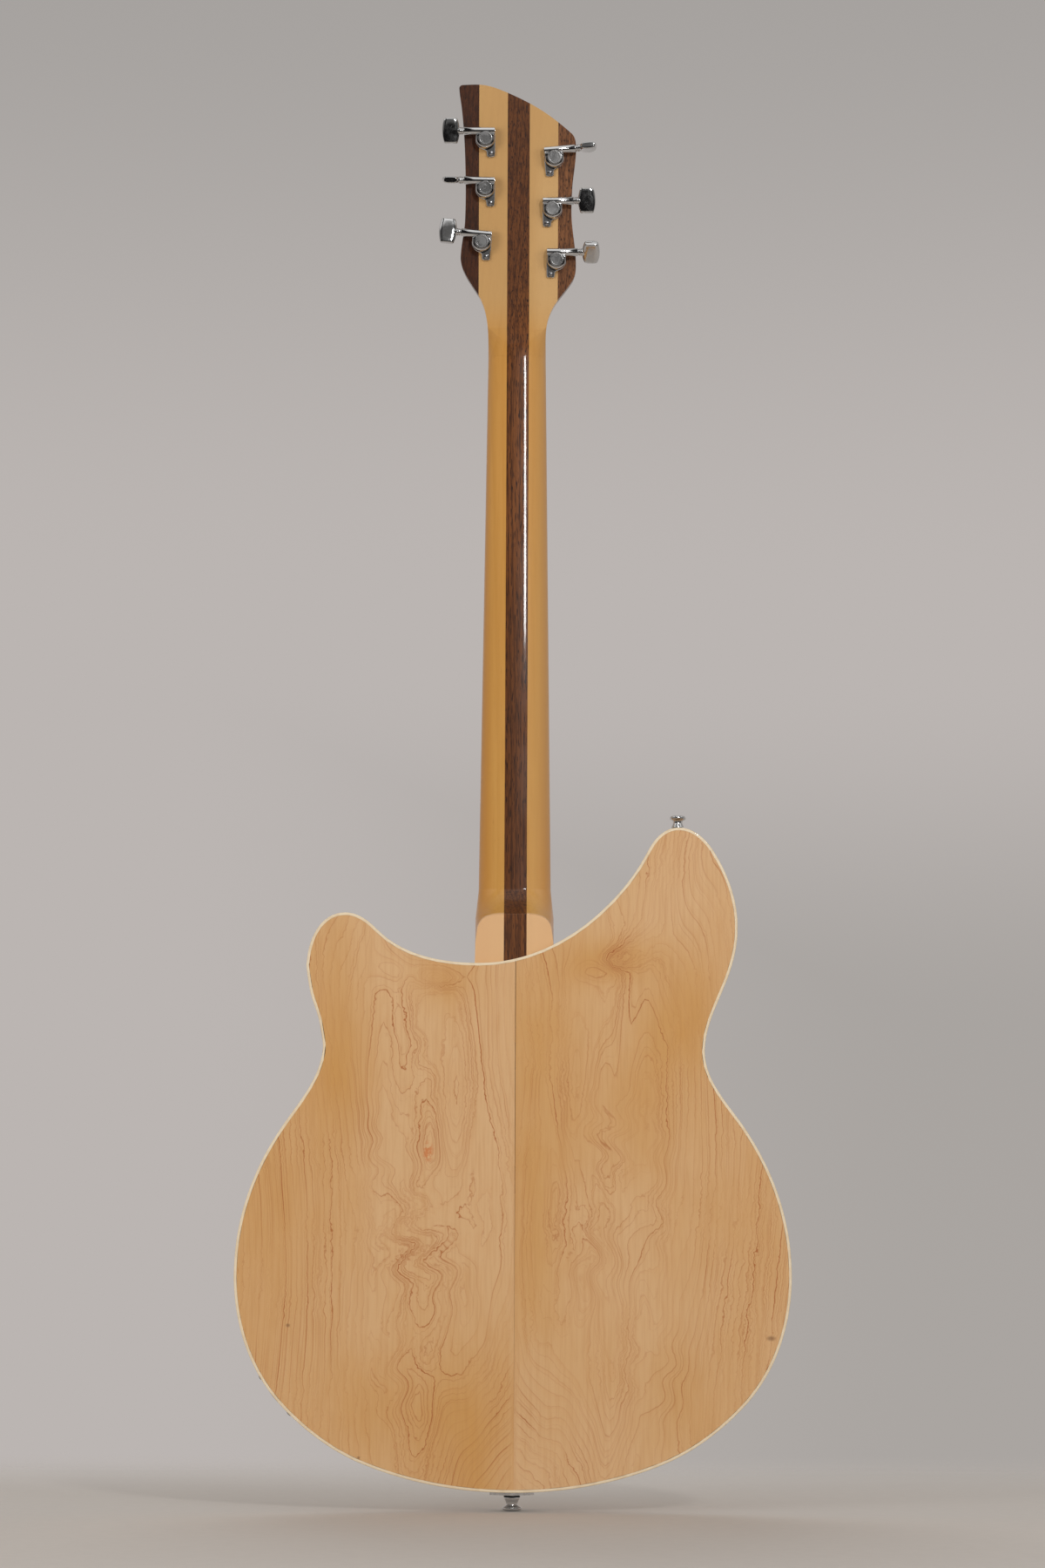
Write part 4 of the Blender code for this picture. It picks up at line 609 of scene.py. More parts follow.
def finished(name, shape, finish, body="guitar", stands_for=None, crease=40.0):
    """Turn a bmesh into a finished piece."""
    mesh = mesh_of(name, shape)
    mesh.materials.append(finish)
    return as_piece(name, mesh, finish, body, stands_for, crease)


def rounded(made, width, segments=2, limit="ANGLE"):
    """Round the piece's edges with a live bevel."""
    edge = made.modifiers.new("edges", "BEVEL")
    edge.width, edge.segments, edge.limit_method = width, segments, limit
    edge.angle_limit = math.radians(38.0)
    edge.harden_normals = True


def dress(node, finish, edge=0.0003, shape=None):
    """The usual treatment of one solid."""
    made = finished(node + "_piece", shape or joined_copy(node), finish, BODY_OF[node], node)
    if edge:
        rounded(made, edge)


print("solids can be dressed")


# %% Skinned and turned shapes
def skin(shape, rings, closed=False):
    """Join equal rings with faces, then cap both ends, or join the last ring to the first."""
    loops = [[shape.verts.new(p) for p in ring] for ring in rings]
    count = len(loops[0])
    for low, high in zip(loops, loops[1:] + loops[:1] if closed else loops[1:]):
        for k in range(count):
            shape.faces.new((low[k], low[(k + 1) % count], high[(k + 1) % count], high[k]))
    if not closed:
        shape.faces.new(loops[0])
        shape.faces.new(loops[-1])
    bmesh.ops.recalc_face_normals(shape, faces=shape.faces)
    return shape


def turned(profile, place, sides=48, closed=False, onto=None):
    """Turn (radius, height) pairs round the third axis of a frame."""
    angles = [2 * math.pi * k / sides for k in range(sides)]
    rings = [[place @ Vector((r * math.cos(a), r * math.sin(a), h)) for a in angles] for r, h in profile]
    return skin(bmesh.new() if onto is None else onto, rings, closed)


def axis_frame(origin, axis, right):
    """Frame whose third axis is the given one and whose first lies nearest to right."""
    third = Vector(axis).normalized()
    first = (Vector(right) - third * Vector(right).dot(third)).normalized()
    made = Matrix((first, third.cross(first), third)).transposed().to_4x4()
    made.translation = Vector(origin)
    return made


print("shapes can be skinned and turned")


# %% [markdown]
# ## The rim of the back
# The back's edge is a closed curve, and both the halves and their binding follow it. The solid
# knows it as a chain of short straight edges, so the chain is walked once and made smooth.

# %% Smooth loops
def loop_of(node, level):
    """The outer loop of a solid's flat face at one level of y, as (x, z) points in order."""
    shape = joined_copy(node)
    following = {}
    for edge in shape.edges:
        in_face = all(abs(v.co.y - level) < 1e-5 for v in edge.verts)
        if in_face and any(abs(f.normal.y) < 0.5 for f in edge.link_faces):
            for a, b in (edge.verts, reversed(edge.verts)):
                following.setdefault(a, []).append(b)
    loops, left = [], set(following)
    while left:
        start = min(left, key=lambda v: v.index)
        chain, last, here = [start], None, start
        while True:
            last, here = here, next(v for v in following[here] if v is not last)
            if here is start:
                break
            chain.append(here)
        left -= set(chain)
        loops.append([Vector((v.co.x, v.co.z)) for v in chain])
    longest = max(loops, key=lambda points: sum((a - b).length for a, b in zip(points, points[1:])))
    shape.free()
    area = sum(a.x * b.y - b.x * a.y for a, b in zip(longest, longest[1:] + longest[:1]))
    return longest if area > 0 else longest[::-1]


def smooth_loop(points, parts):
    """More points on a closed loop, on a curve through the given ones."""
    made, count = [], len(points)
    for k in range(count):
        p0, p1, p2, p3 = (points[(k + n) % count] for n in (-1, 0, 1, 2))
        for n in range(parts):
            t = n / parts
            made.append(0.5 * (2 * p1 + (p2 - p0) * t + (2 * p0 - 5 * p1 + 4 * p2 - p3) * t * t
                               + (3 * p1 - p0 - 3 * p2 + p3) * t ** 3))
    return made


def inward(points):
    """Unit vectors that point into a left-turning loop."""
    ways = [points[(k + 1) % len(points)] - points[k - 1] for k in range(len(points))]
    return [Vector((-way.y, way.x)).normalized() for way in ways]


RIM = smooth_loop(loop_of("back_binding", BACK_Y), 4)
RIM_INWARD = inward(RIM)
print("rim:", len(RIM), "stations,", round(sum((a - b).length for a, b in zip(RIM, RIM[1:])) / MM), "mm round")


# %% [markdown]
# ## The back's two halves
# Each half is cut into a fine lattice, so that the height of the growth layers is known every
# three millimetres and the material only has to draw between those points. The halves grow out
# to the binding, which is scraped thin, and the gap at the glued seam is closed.

# %% Back halves
LATTICE, GLUE_REACH, RIM_REACH = 0.003, 0.0003, 0.0036
FIGURE_START, SLOPE_STEP = 40, 0.25


def fit_half(shape):
    """Let a half run out to the thin binding, and close its seam."""
    for vertex in shape.verts:
        here = Vector((vertex.co.x, vertex.co.z))
        nearest = min(range(len(RIM)), key=lambda k: (RIM[k] - here).length_squared)
        if (RIM[nearest] - here).length < RIM_REACH:
            vertex.co.x -= RIM_INWARD[nearest].x * (BINDING_SEAT - BINDING_WIDTH)
            vertex.co.z -= RIM_INWARD[nearest].y * (BINDING_SEAT - BINDING_WIDTH)
        if abs(vertex.co.x - SEAM_X) < GLUE_REACH:
            vertex.co.x = SEAM_X


def cut_lattice(shape, step):
    for axis in (0, 2):
        values = [v.co[axis] for v in shape.verts]
        way = Vector([float(k == axis) for k in range(3)])
        for k in range(math.ceil(min(values) / step), math.floor(max(values) / step) + 1):
            everything = shape.verts[:] + shape.edges[:] + shape.faces[:]
            bmesh.ops.bisect_plane(shape, geom=everything, dist=1e-7, plane_co=way * (k * step), plane_no=way)


def make_back_half(side):
    shape = joined_copy("back_half_" + side)
    fit_half(shape)
    cut_lattice(shape, LATTICE)
    made = finished("back_panel_" + side, shape, MAPLE_BACK, stands_for="back_half_" + side)
    places = np.array([v.co for v in made.data.vertices]) / MM
    x, z, seam = places[:, 0], places[:, 2], SEAM_X / MM
    x = np.minimum(x, seam - 0.01) if side == "bass" else np.maximum(x, seam + 0.01)
    step = SLOPE_STEP
    across = (growth_height(x + step, z) - growth_height(x - step, z)) / (2 * step)
    along = (growth_height(x, z + step) - growth_height(x, z - step)) / (2 * step)
    figure = growth_height(x, z) + FIGURE_START
    layers = {"figure": figure, "slope": np.hypot(across, along), "gold": gold_share(x, z)}
    for name, values in layers.items():
        attribute = made.data.attributes.new(name, "FLOAT", "POINT")
        attribute.data.foreach_set("value", np.asarray(values, np.float32))
    print(made.name, len(made.data.vertices), "points")


make_back_half("bass")
make_back_half("treble")

# %% [markdown]
# ## Body shell
# The top and the rims are one routed solid. Its shape is right as it stands, so the copy only
# gets smooth shading and wood. The edge of the sound hole is plastic with rounded edges.

# %% Body shell
dress("body_shell", MAPLE_RIM, 0.0)
dress("soundhole_binding", CREAM, 0.0004)
print("body shell dressed in", MAPLE_RIM.name)

# %% [markdown]
# ## Binding of the back
# The binding is a strip of plastic glued round the edge and scraped flush, and years of
# knocks have chipped its outer corner. It follows a path, so it is swept: the path comes from
# the solid's own rim, made smooth, and at each station of it a small section is placed whose
# corner is rounded, and deeper where a chip is.

# %% Binding with its chips
CHIPS = ((-0.1561, -0.4155, 0.004, 1.0), (-0.1555, -0.4260, 0.003, 0.8), (-0.1540, -0.4400, 0.0035, 0.9),
         (-0.0230, -0.7995, 0.002, 1.0), (0.1010, -0.7775, 0.003, 1.0), (-0.1370, -0.3960, 0.002, 0.6),
         (-0.1340, -0.4760, 0.003, 0.5), (-0.1905, -0.640, 0.002, 0.4), (0.1180, -0.4210, 0.002, 0.5))
CORNER, CHIPPED_MORE, CORNER_STEPS = 0.0007, 0.0011, 5


def make_binding():
    rings = []
    turns = [math.pi / 2 * k / CORNER_STEPS for k in range(CORNER_STEPS + 1)]
    for point, normal in zip(RIM, RIM_INWARD):
        near = [(math.hypot(point.x - x, point.y - z) / reach, depth) for x, z, reach, depth in CHIPS]
        corner = CORNER + CHIPPED_MORE * max(0.0, *[depth * (1 - away ** 2) for away, depth in near])
        section = [(0.0, BINDING_HEIGHT)]
        section += [(corner * (1 - math.cos(a)), corner * (1 - math.sin(a))) for a in turns]
        section += [(BINDING_WIDTH, 0.0), (BINDING_WIDTH, BINDING_LIP), (BINDING_SEAT, BINDING_LIP),
                    (BINDING_SEAT, BINDING_HEIGHT)]
        rings.append([Vector((point.x + normal.x * a, BACK_Y - low, point.y + normal.y * a))
                      for a, low in section])
    strip = skin(bmesh.new(), rings, True)
    made = finished("back_binding_strip", strip, CREAM, stands_for="back_binding", crease=50)
    print(made.name, len(made.data.polygons), "faces,", len(CHIPS), "chips")


make_binding()

# %% [markdown]
# ## Neck and head
# The neck is one blank of five strips: maple, walnut, maple, and a walnut wing on each side of
# the head. Its shape follows a rule. Rounded sections run up the neck, grow a flat back where
# it turns into the head, and swell into the heel below. Each strip is the same skin of
# sections, cut by the outline of its own part of the blank, so the strips meet exactly.

# %% Sections along the neck
NECK_DEPTH_NUT, NECK_DEPTH_HEEL, HEEL_DEPTH = 0.014, 0.0175, 0.036
HEEL_COVE, HEEL_FLARE, NECK_EASE, TENON_END = 0.0204, 0.0018, 0.022, 0.4755
HEAD_SPREAD, HEAD_FLAT_SHARE, SECTION_STEPS = 0.05035, 0.286, 18


def board_half(along):
    return NUT_HALF + BOARD_TAPER * along


def neck_section(half_width, depth, exponent, flat):
    """Half-round section of the neck's back, cut off flat at a depth."""
    power, limit = 2 / exponent, math.radians(89.0)
    if depth > flat:
        limit = min(limit, math.asin((flat / depth) ** (1 / power)))
    angles = [limit * k / SECTION_STEPS for k in range(SECTION_STEPS + 1)]
    half = [(half_width * math.cos(a) ** power, depth * math.sin(a) ** power) for a in angles]
    return half + [(-x, y) for x, y in reversed(half)]


def eased(points, along):
    """Round the inside corner where the head tilts back, over a short reach."""
    extra = max(0.0, NECK_EASE - abs(along)) ** 2 * math.tan(HEAD_TILT) / (4 * NECK_EASE)
    return [(x, y, extra * min(1.0, y / NECK_DEPTH_NUT)) for x, y in points]


def neck_rings():
    cove_start = -HEEL_Z - HEEL_COVE
    rings = []
    stations = [TENON_END, 0.440, 0.425] + [0.4150 - 0.0006 * k for k in range(50)]
    stations += [cove_start * k / 30 for k in range(30, 2, -1)] + [0.002 * k for k in range(12, -1, -1)]
    for along in stations:
        t = max(0.0, (along - cove_start) / HEEL_COVE)
        thick = NECK_DEPTH_NUT + (NECK_DEPTH_HEEL - NECK_DEPTH_NUT) * min(along, cove_start) / cove_start
        depth = thick + (HEEL_DEPTH - thick) * t ** 1.9
        width = board_half(min(along, -HEEL_Z)) + HEEL_FLARE * min(1.0, t)
        section = neck_section(width, depth, 2.2 + 1.3 * min(1.0, t), HEEL_DEPTH)
        rings.append([Vector((x, y + more, -along)) for x, y, more in eased(section, along)])
    for share in [HEAD_FLAT_SHARE * (k + 1) / 30 for k in range(30)] + [1.05]:
        t = min(1.0, share / HEAD_FLAT_SHARE)
        up, width = share * HEAD_LENGTH, NUT_HALF + (HEAD_SPREAD - NUT_HALF) * t ** 2
        section = neck_section(width, HEAD_THICKNESS * (1.002 + 3 * t ** 3), 2.2 + 9.2 * t * t, HEAD_THICKNESS)
        rings.append([HEAD_FRAME @ Vector((x, up, y)) + Vector((0, more, 0))
                      for x, y, more in eased(section, up)])
    return rings


NECK_RINGS = neck_rings()
print("neck:", len(NECK_RINGS), "sections of", len(NECK_RINGS[0]), "points")

# %% Outline of the head
# Each knot is a place across, a share of the head's length, and a direction in degrees
HEAD_KNOTS = (
    (0.0207, 0, 90), (0.0214, 0.128, 83), (0.0278, 0.232, 58), (0.0385, 0.321, 66), (0.0407, 0.371, 92),
    (0.0376, 0.509, 92), (0.0373, 0.645, 89), (0.0405, 0.923, 83), (0.0421, 0.986, 88), (0.0395, 0.9985, 178),
    (0.0280, 1.0, 182), (0.0075, 0.971, 203), (-0.0200, 0.897, 214), (-0.0385, 0.823, 222),
    (-0.0414, 0.790, 264), (-0.0390, 0.616, 272), (-0.0386, 0.524, 268), (-0.0419, 0.330, 272),
    (-0.0395, 0.2865, 301), (-0.0287, 0.212, 306), (-0.0214, 0.128, 281), (-0.0207, 0, 270))
OUTLINE_STEPS = 10


def through(knots):
    """Smooth open line through the knots."""
    points = []
    for (x0, y0, a0), (x1, y1, a1) in zip(knots, knots[1:]):
        start, end, a0, a1 = Vector((x0, y0)), Vector((x1, y1)), math.radians(a0), math.radians(a1)
        turn = (a1 - a0 + math.pi) % (2 * math.pi) - math.pi
        reach = math.hypot(x1 - x0, y1 - y0) / (3 * math.cos(turn / 4) ** 2)
        first = start + reach * Vector((math.cos(a0), math.sin(a0)))
        second = end - reach * Vector((math.cos(a1), math.sin(a1)))
        for k in range(OUTLINE_STEPS):
            t = k / OUTLINE_STEPS
            points.append((1 - t) ** 3 * start + 3 * t * (1 - t) ** 2 * first
                          + 3 * t * t * (1 - t) * second + t ** 3 * end)
    return points + [Vector(knots[-1][:2])]


def clip(outline, limit, sign):
    """Keep the part of an outline above (1) or below (-1) the line x = limit."""
    kept = []
    for k, point in enumerate(outline):
        last = outline[k - 1]
        inside = sign * (point.x - limit) >= 0
        if inside != (sign * (last.x - limit) >= 0):
            kept.append(last + (point - last) * (limit - last.x) / (point.x - last.x))
        if inside:
            kept.append(point)
    return kept


HEAD_OUTLINE = through([(x, share * HEAD_LENGTH, angle) for x, share, angle in HEAD_KNOTS])
print("head outline:", len(HEAD_OUTLINE), "points")


# %% Cuts between shapes
def evaluated(item):
    """A plain mesh of what an object's modifiers make of it."""
    return bpy.data.meshes.new_from_object(item.evaluated_get(bpy.context.evaluated_depsgraph_get()))


def cut_out(solid, tool, operation):
    """The result of a boolean between two bmeshes, as a new bmesh."""
    objects = [placed(name, mesh_of(name, shape)) for name, shape in (("solid", solid), ("tool", tool))]
    cut = objects[0].modifiers.new("cut", "BOOLEAN")
    cut.object, cut.operation, cut.solver = objects[1], operation, "EXACT"
    made, result = bmesh.new(), evaluated(objects[0])
    made.from_mesh(result)
    for mesh in (objects[0].data, objects[1].data, result):
        bpy.data.meshes.remove(mesh)
    return made


print("shapes can be cut")

# %% Strips of the neck
TENON_SIDE, TOOL_DEPTH, STRIP_EDGE = 0.034, 0.15, 0.0009
POST_HOLE, HOLE_MARGIN = 0.0042, 0.004
CUTS = (-0.08, *STRIP_SEAMS, 0.08)
STRIPS = ((1, "neck_maple_bass", MAPLE_NECK), (2, "neck_walnut_center", WALNUT),
          (3, "neck_maple_treble", MAPLE_NECK), (0, "head_wing_bass", WALNUT_LIGHT),
          (4, "head_wing_treble", WALNUT_DARK))


def mark_crisp_edges(shape):
    """Mark the crisp outer edges for rounding, leaving the glued seams alone."""
    weight = shape.edges.layers.float.new("bevel_weight_edge")
    for edge in shape.edges:
        on_seam = any(all(abs(v.co.x - seam) < 1e-5 for v in edge.verts) for seam in STRIP_SEAMS)
        if edge.is_manifold and edge.calc_face_angle(0.0) > math.radians(50.0) and not on_seam:
            edge[weight] = 1.0


def make_strip(node, place, finish):
    tail = -TENON_END - 0.02
    treble, bass = [[Vector((side, tail)), Vector((side, 0))] for side in (TENON_SIDE, -TENON_SIDE)]
    blank = treble + HEAD_OUTLINE + bass[::-1]
    plan = clip(clip(HEAD_OUTLINE if "wing" in node else blank, CUTS[place], 1), CUTS[place + 1], -1)
    prism = [[HEAD_FRAME @ Vector((p.x, p.y, depth)) for p in plan] for depth in (-TOOL_DEPTH, TOOL_DEPTH)]
    shape = cut_out(skin(bmesh.new(), NECK_RINGS), skin(bmesh.new(), prism), "INTERSECT")
    if node != "neck_walnut_center":
        drills = bmesh.new()
        for x, share, _ in POSTS:
            hole = [(POST_HOLE, -HOLE_MARGIN), (POST_HOLE, HEAD_THICKNESS + HOLE_MARGIN)]
            turned(hole, HEAD_FRAME @ Matrix.Translation((x, share * HEAD_LENGTH, 0)), 24, onto=drills)
        shape = cut_out(shape, drills, "DIFFERENCE")
    bmesh.ops.remove_doubles(shape, verts=shape.verts, dist=2e-6)
    mark_crisp_edges(shape)
    made = finished(node + "_strip", shape, finish, stands_for=node)
    rounded(made, STRIP_EDGE, 3, "WEIGHT")
    print(made.name, len(made.data.polygons), "faces")


for place, node, finish in STRIPS:
    make_strip(node, place, finish)

# %% [markdown]
# ## Trees that repeat and follow
# Screws, frets, ribs and strings are many copies of one small thing, or one section drawn
# along a path. Geometry Nodes suit both. Each tree below takes its sizes as named inputs, and
# its result is kept as a plain mesh, because an exported model knows nothing of instances.

# %% Run a tree and keep the result
def seed_of(points=(), edges=()):
    seed = bpy.data.meshes.new("seed")
    seed.from_pydata([tuple(p) for p in points], list(edges), [])
    return seed


def grown(name, seed, tree, values, finish, body="guitar", stands_for=None, crease=40.0):
    """Run a tree on a seed mesh and make a plain piece of what comes out."""
    holder = placed(name + "_seed", seed)
    modifier = holder.modifiers.new("grow", "NODES")
    modifier.node_group = tree
    sockets = {item.name: item.identifier for item in tree.interface.items_tree if item.in_out == "INPUT"}
    for title, value in {**values, "Finish": finish}.items():
        modifier[sockets[title]] = value
    result = evaluated(holder)
    holder.modifiers.remove(modifier)
    bpy.data.meshes.remove(seed)
    result.name = name
    print(name, len(result.polygons), "faces")
    return as_piece(name, result, finish, body, stands_for, crease)


def new_tree(name, inputs):
    return new_group(name, "GeometryNodeTree", {**inputs, "Finish": "Material"}, ("Geometry",))


def finish_tree(net, geometry):
    """End a tree: turn instances into real mesh and give it its material."""
    real = net.add("GeometryNodeRealizeInstances", {0: geometry})[0]
    dressed = net.add("GeometryNodeSetMaterial", {"Geometry": real, "Material": net.given["Finish"]})[0]
    net.fill(net.result, {"Geometry": dressed})
    return net.tree


# %% Tree that sets a master on points
def make_set_on_points():
    inputs = {"Geometry": "Geometry", "Master": "Object", "Size": 1.0, "Turn": 0.0, "Seed": 1}
    net = new_tree("set_on_points", inputs)
    given = net.given
    facing = net.add("GeometryNodeInputNamedAttribute", {"Name": "facing"}, data_type="FLOAT_VECTOR")[0]
    aim = net.add("FunctionNodeAlignRotationToVector", {"Vector": facing}, axis="Z")[0]
    limits = {2: 0.0, 3: given["Turn"], 8: given["Seed"]}
    spin = net.add("FunctionNodeRandomValue", limits, data_type="FLOAT")[1]
    turn = net.add("FunctionNodeAxisAngleToRotation", {"Axis": (0, 0, 1), "Angle": spin})[0]
    rotation = net.add("FunctionNodeRotateRotation", {0: aim, 1: turn}, rotation_space="LOCAL")[0]
    master = net.add("GeometryNodeObjectInfo", {"Object": given["Master"]})["Geometry"]
    return finish_tree(net, net.add("GeometryNodeInstanceOnPoints", {
        "Points": given["Geometry"], "Instance": master, "Rotation": rotation, "Scale": given["Size"]})[0])


SET_ON_POINTS = make_set_on_points()


def set_out(name, places, master, finish, size=1.0, turn=0.0):
    """Set copies of a master on (place, facing) pairs."""
    seed = seed_of([place for place, _ in places])
    facing = np.array([tuple(way) for _, way in places], np.float32).ravel()
    seed.attributes.new("facing", "FLOAT_VECTOR", "POINT").data.foreach_set("vector", facing)
    grown(name, seed, SET_ON_POINTS, {"Master": master, "Size": size, "Turn": turn, "Seed": 7}, finish)


def screws(name, places, size):
    """Set out cross-head screws, each turned at random."""
    set_out(name, places, CROSS_SCREW, STEEL, size, 1.5)


print(SET_ON_POINTS.name, "is ready")


# %% Masters of the screws, dots and poles
DOME = [(math.sin(a), math.cos(a)) for a in (math.radians(d) for d in (88, 75, 60, 45, 30, 15, 3))]


def master_of(name, shape):
    """Keep a small shape as a master that is never rendered itself."""
    return bpy.data.objects.new(name, mesh_of(name, shape))


def cross_screw():
    """Round head of radius 1 with a cross recess, its rim at height 0."""
    profile = [(0.93, -0.25), (1.0, -0.2), (1.0, 0.0)] + [(0.97 * r, 0.08 + 0.5 * h) for r, h in DOME]
    recess, corners = bmesh.new(), ((1, 1), (-1, 1), (-1, -1), (1, -1))
    for long, short in ((0.60, 0.13), (0.13, 0.60)):
        skin(recess, [[Vector((sx * long * w, sy * short * w, z)) for sx, sy in corners]
                      for w, z in ((0.45, 0.10), (1.0, 0.9))])
    return master_of("cross_screw", cut_out(turned(profile, STRAIGHT, 32), recess, "DIFFERENCE"))


CROSS_SCREW = cross_screw()
POLE = master_of("pole", turned([(1, -0.5), (1, 0.12), (0.92, 0.22), (0.3, 0.26)], STRAIGHT, 24))
DOT = master_of("dot", turned([(1, -0.2), (1, 0.0), (0.99, 0.012), (0.3, 0.014)], STRAIGHT, 32))
print("cross screw:", len(CROSS_SCREW.data.polygons), "faces")

# %% [markdown]
# ## Fingerboard and frets
# The board is crowned rosewood inside a plastic binding. Frets sit by a rule: each one leaves
# the rest of the string shorter by the twelfth root of two. The tree below places them by
# that rule, widens each to the tapering board, and then bends all of them to the crown.

# %% Board
BOARD_START, BOARD_STEPS, CROWN_STEPS = 0.0003, 8, 8


def board_top(x):
    return BOARD_FACE + BOARD_RADIUS - math.sqrt(BOARD_RADIUS ** 2 - x * x)


def make_board():
    rings = []
    for k in range(BOARD_STEPS + 1):
        along = BOARD_START + (BOARD_END - BOARD_BINDING - BOARD_START) * k / BOARD_STEPS
        half = board_half(along) - BOARD_BINDING
        crown = [half * (n / CROWN_STEPS - 1) for n in range(2 * CROWN_STEPS + 1)]
        section = [(half, 0), (-half, 0)] + [(x, board_top(x)) for x in crown]
        rings.append([Vector((x, y, -along)) for x, y in section])
    made = finished("rosewood_board", skin(bmesh.new(), rings), ROSEWOOD, stands_for="fingerboard")
    print(made.name, round(BOARD_END / MM, 1), "mm long")


make_board()

# %% Frets by the rule of twelve
FRET_SIZES = {"Frets": FRET_COUNT, "Scale Length": SCALE_LENGTH, "Nut Half Width": NUT_HALF - BOARD_BINDING,
              "Taper": BOARD_TAPER, "Crown": 0.0011, "Fret Half Width": 0.0011, "Face": BOARD_FACE,
              "Board Radius": BOARD_RADIUS}


def make_fret_tree():
    net = new_tree("frets", FRET_SIZES)
    frets, length, nut_half, taper, crown, fret_half, face, radius = [net.given[title] for title in FRET_SIZES]
    number = net.math("ADD", net.add("GeometryNodeInputIndex")[0], 1.0)
    along = net.mul(net.sub(1.0, net.math("POWER", 2.0, net.math("DIVIDE", number, -12.0))), length)
    line = net.add("GeometryNodeMeshLine", {"Count": frets, "Offset": (0, 0, 0)})[0]
    place = net.add("ShaderNodeCombineXYZ", {"Z": net.mul(along, -1.0)})[0]
    points = net.add("GeometryNodeSetPosition", {"Geometry": line, "Position": place})[0]
    size = net.add("ShaderNodeCombineXYZ", {0: net.madd(along, taper, nut_half), 1: crown, 2: fret_half})[0]
    cylinder = {"Vertices": 14, "Side Segments": 12, "Radius": 1.0, "Depth": 2.0}
    bar = net.add("GeometryNodeMeshCylinder", cylinder)[0]
    lying = net.add("GeometryNodeTransform", {"Geometry": bar, "Rotation": (0, math.pi / 2, 0)})[0]
    bars = net.add("GeometryNodeInstanceOnPoints", {"Points": points, "Instance": lying, "Scale": size})[0]
    real = net.add("GeometryNodeRealizeInstances", {0: bars})[0]
    x, y, _ = net.split(net.add("GeometryNodeInputPosition")[0])
    sag = net.sub(radius, net.math("SQRT", net.madd(x, net.mul(x, -1.0), net.mul(radius, radius))))
    lean = net.mul(net.math("SIGN", x), net.mul(net.math("MINIMUM", y, 0.0), 0.7))
    shift = net.add("ShaderNodeCombineXYZ", {0: lean, 1: net.math("ADD", sag, face)})[0]
    return finish_tree(net, net.add("GeometryNodeSetPosition", {"Geometry": real, "Offset": shift})[0])


grown("frets", seed_of(), make_fret_tree(), FRET_SIZES, NICKEL, crease=50)

# %% Inlaid dots, binding and nut
FRONT, BASS_SIDE = Vector((0, -1, 0)), Vector((-1, 0, 0))


def fret_z(number):
    return -SCALE_LENGTH * (1 - 2 ** (-number / 12))


def seated(node):
    """A copy whose underside lies on the glue plane, where the solid leaves a hairline."""
    shape = joined_copy(node)
    for vertex in shape.verts:
        if abs(vertex.co.y + 0.0003) < 0.00005:
            vertex.co.y = 0.0
    return shape


dots, side_dots = [], []
for number in (3, 5, 7, 9, 12, 15, 17, 19, 21, 24):
    middle = (fret_z(number) + fret_z(number - 1)) / 2
    for way in (-1, 1) if number % 12 == 0 else (0,):
        x = 0.0105 * way
        dots.append((Vector((x, board_top(x) - 0.00002, middle)), FRONT))
        side_dots.append((Vector((-board_half(-middle), BOARD_FACE / 2, middle + 0.003 * way)), BASS_SIDE))
set_out("board_dots", dots, DOT, WHITE, 0.0032)
set_out("side_dots", side_dots, DOT, BLACK, 0.0011)
dress("fingerboard_binding", CREAM, shape=seated("fingerboard_binding"))
dress("nut", BONE, shape=seated("nut"))
dress("truss_rod_cover", WHITE, 0.0004)
dress("truss_rod", STEEL, 0.0)

# %% [markdown]
# ## Tuners
# Each tuner is a cast gear case screwed to the head, with a worm in a barrel along its upper
# edge, a round lid, and a button on the worm's shaft. The case is cast in one, so its forms
# run into each other. The barrel, the shaft and the collar are turned, so they are lathed here
# too. The button is a barrel with flat ends, skinned over a row of soft-cornered sections.

# %% Places of the tuners
ARM_SIDE, ARM_RISE = 0.0056, 0.00525


def tuner_frame(x, share, tilt):
    """Frame with the arm along the first axis, the head's tip along the second, off the back third."""
    side, angle = (1 if x > 0 else -1), math.radians(tilt)
    out = Vector((math.cos(angle), math.sin(angle), 0)) * side
    local = Matrix((out, Vector((-out.y, out.x, 0)) * side, Vector((0, 0, 1)))).transposed().to_4x4()
    local.translation = Vector((x, share * HEAD_LENGTH, HEAD_THICKNESS))
    return HEAD_FRAME @ local


def arm_of(frame):
    return axis_frame(frame @ Vector((0, ARM_SIDE, ARM_RISE)), frame.col[0].xyz, frame.col[1].xyz)


def facing(frame):
    return frame.col[2].xyz


TUNERS = [tuner_frame(*post) for post in POSTS]
print("tuner posts at", [[round(c / MM) for c in frame.translation] for frame in TUNERS])


# %% Outlines with round corners
def softened(corners, radius, steps=5):
    """Cut each corner of an outline with a short curve."""
    points = []
    for k, corner in enumerate(corners):
        ways = [corners[k - 1] - corner, corners[(k + 1) % len(corners)] - corner]
        reach = min(radius, *[way.length * 0.49 for way in ways])
        start, end = [corner + way.normalized() * reach for way in ways]
        for n in range(steps + 1):
            t = n / steps
            points.append((1 - t) ** 2 * start + 2 * t * (1 - t) * corner + t * t * end)
    return points


def pressed(shape, outline, levels, place):
    """A plate whose left-turning outline is drawn in at some levels: (inset, height) pairs."""
    rings = []
    for step, height in levels:
        drawn_in = [point + way * step for point, way in zip(outline, inward(outline))]
        rings.append([place @ Vector((*point, height)) for point in drawn_in])
    return skin(shape, rings)


print("outlines and plates can be drawn")


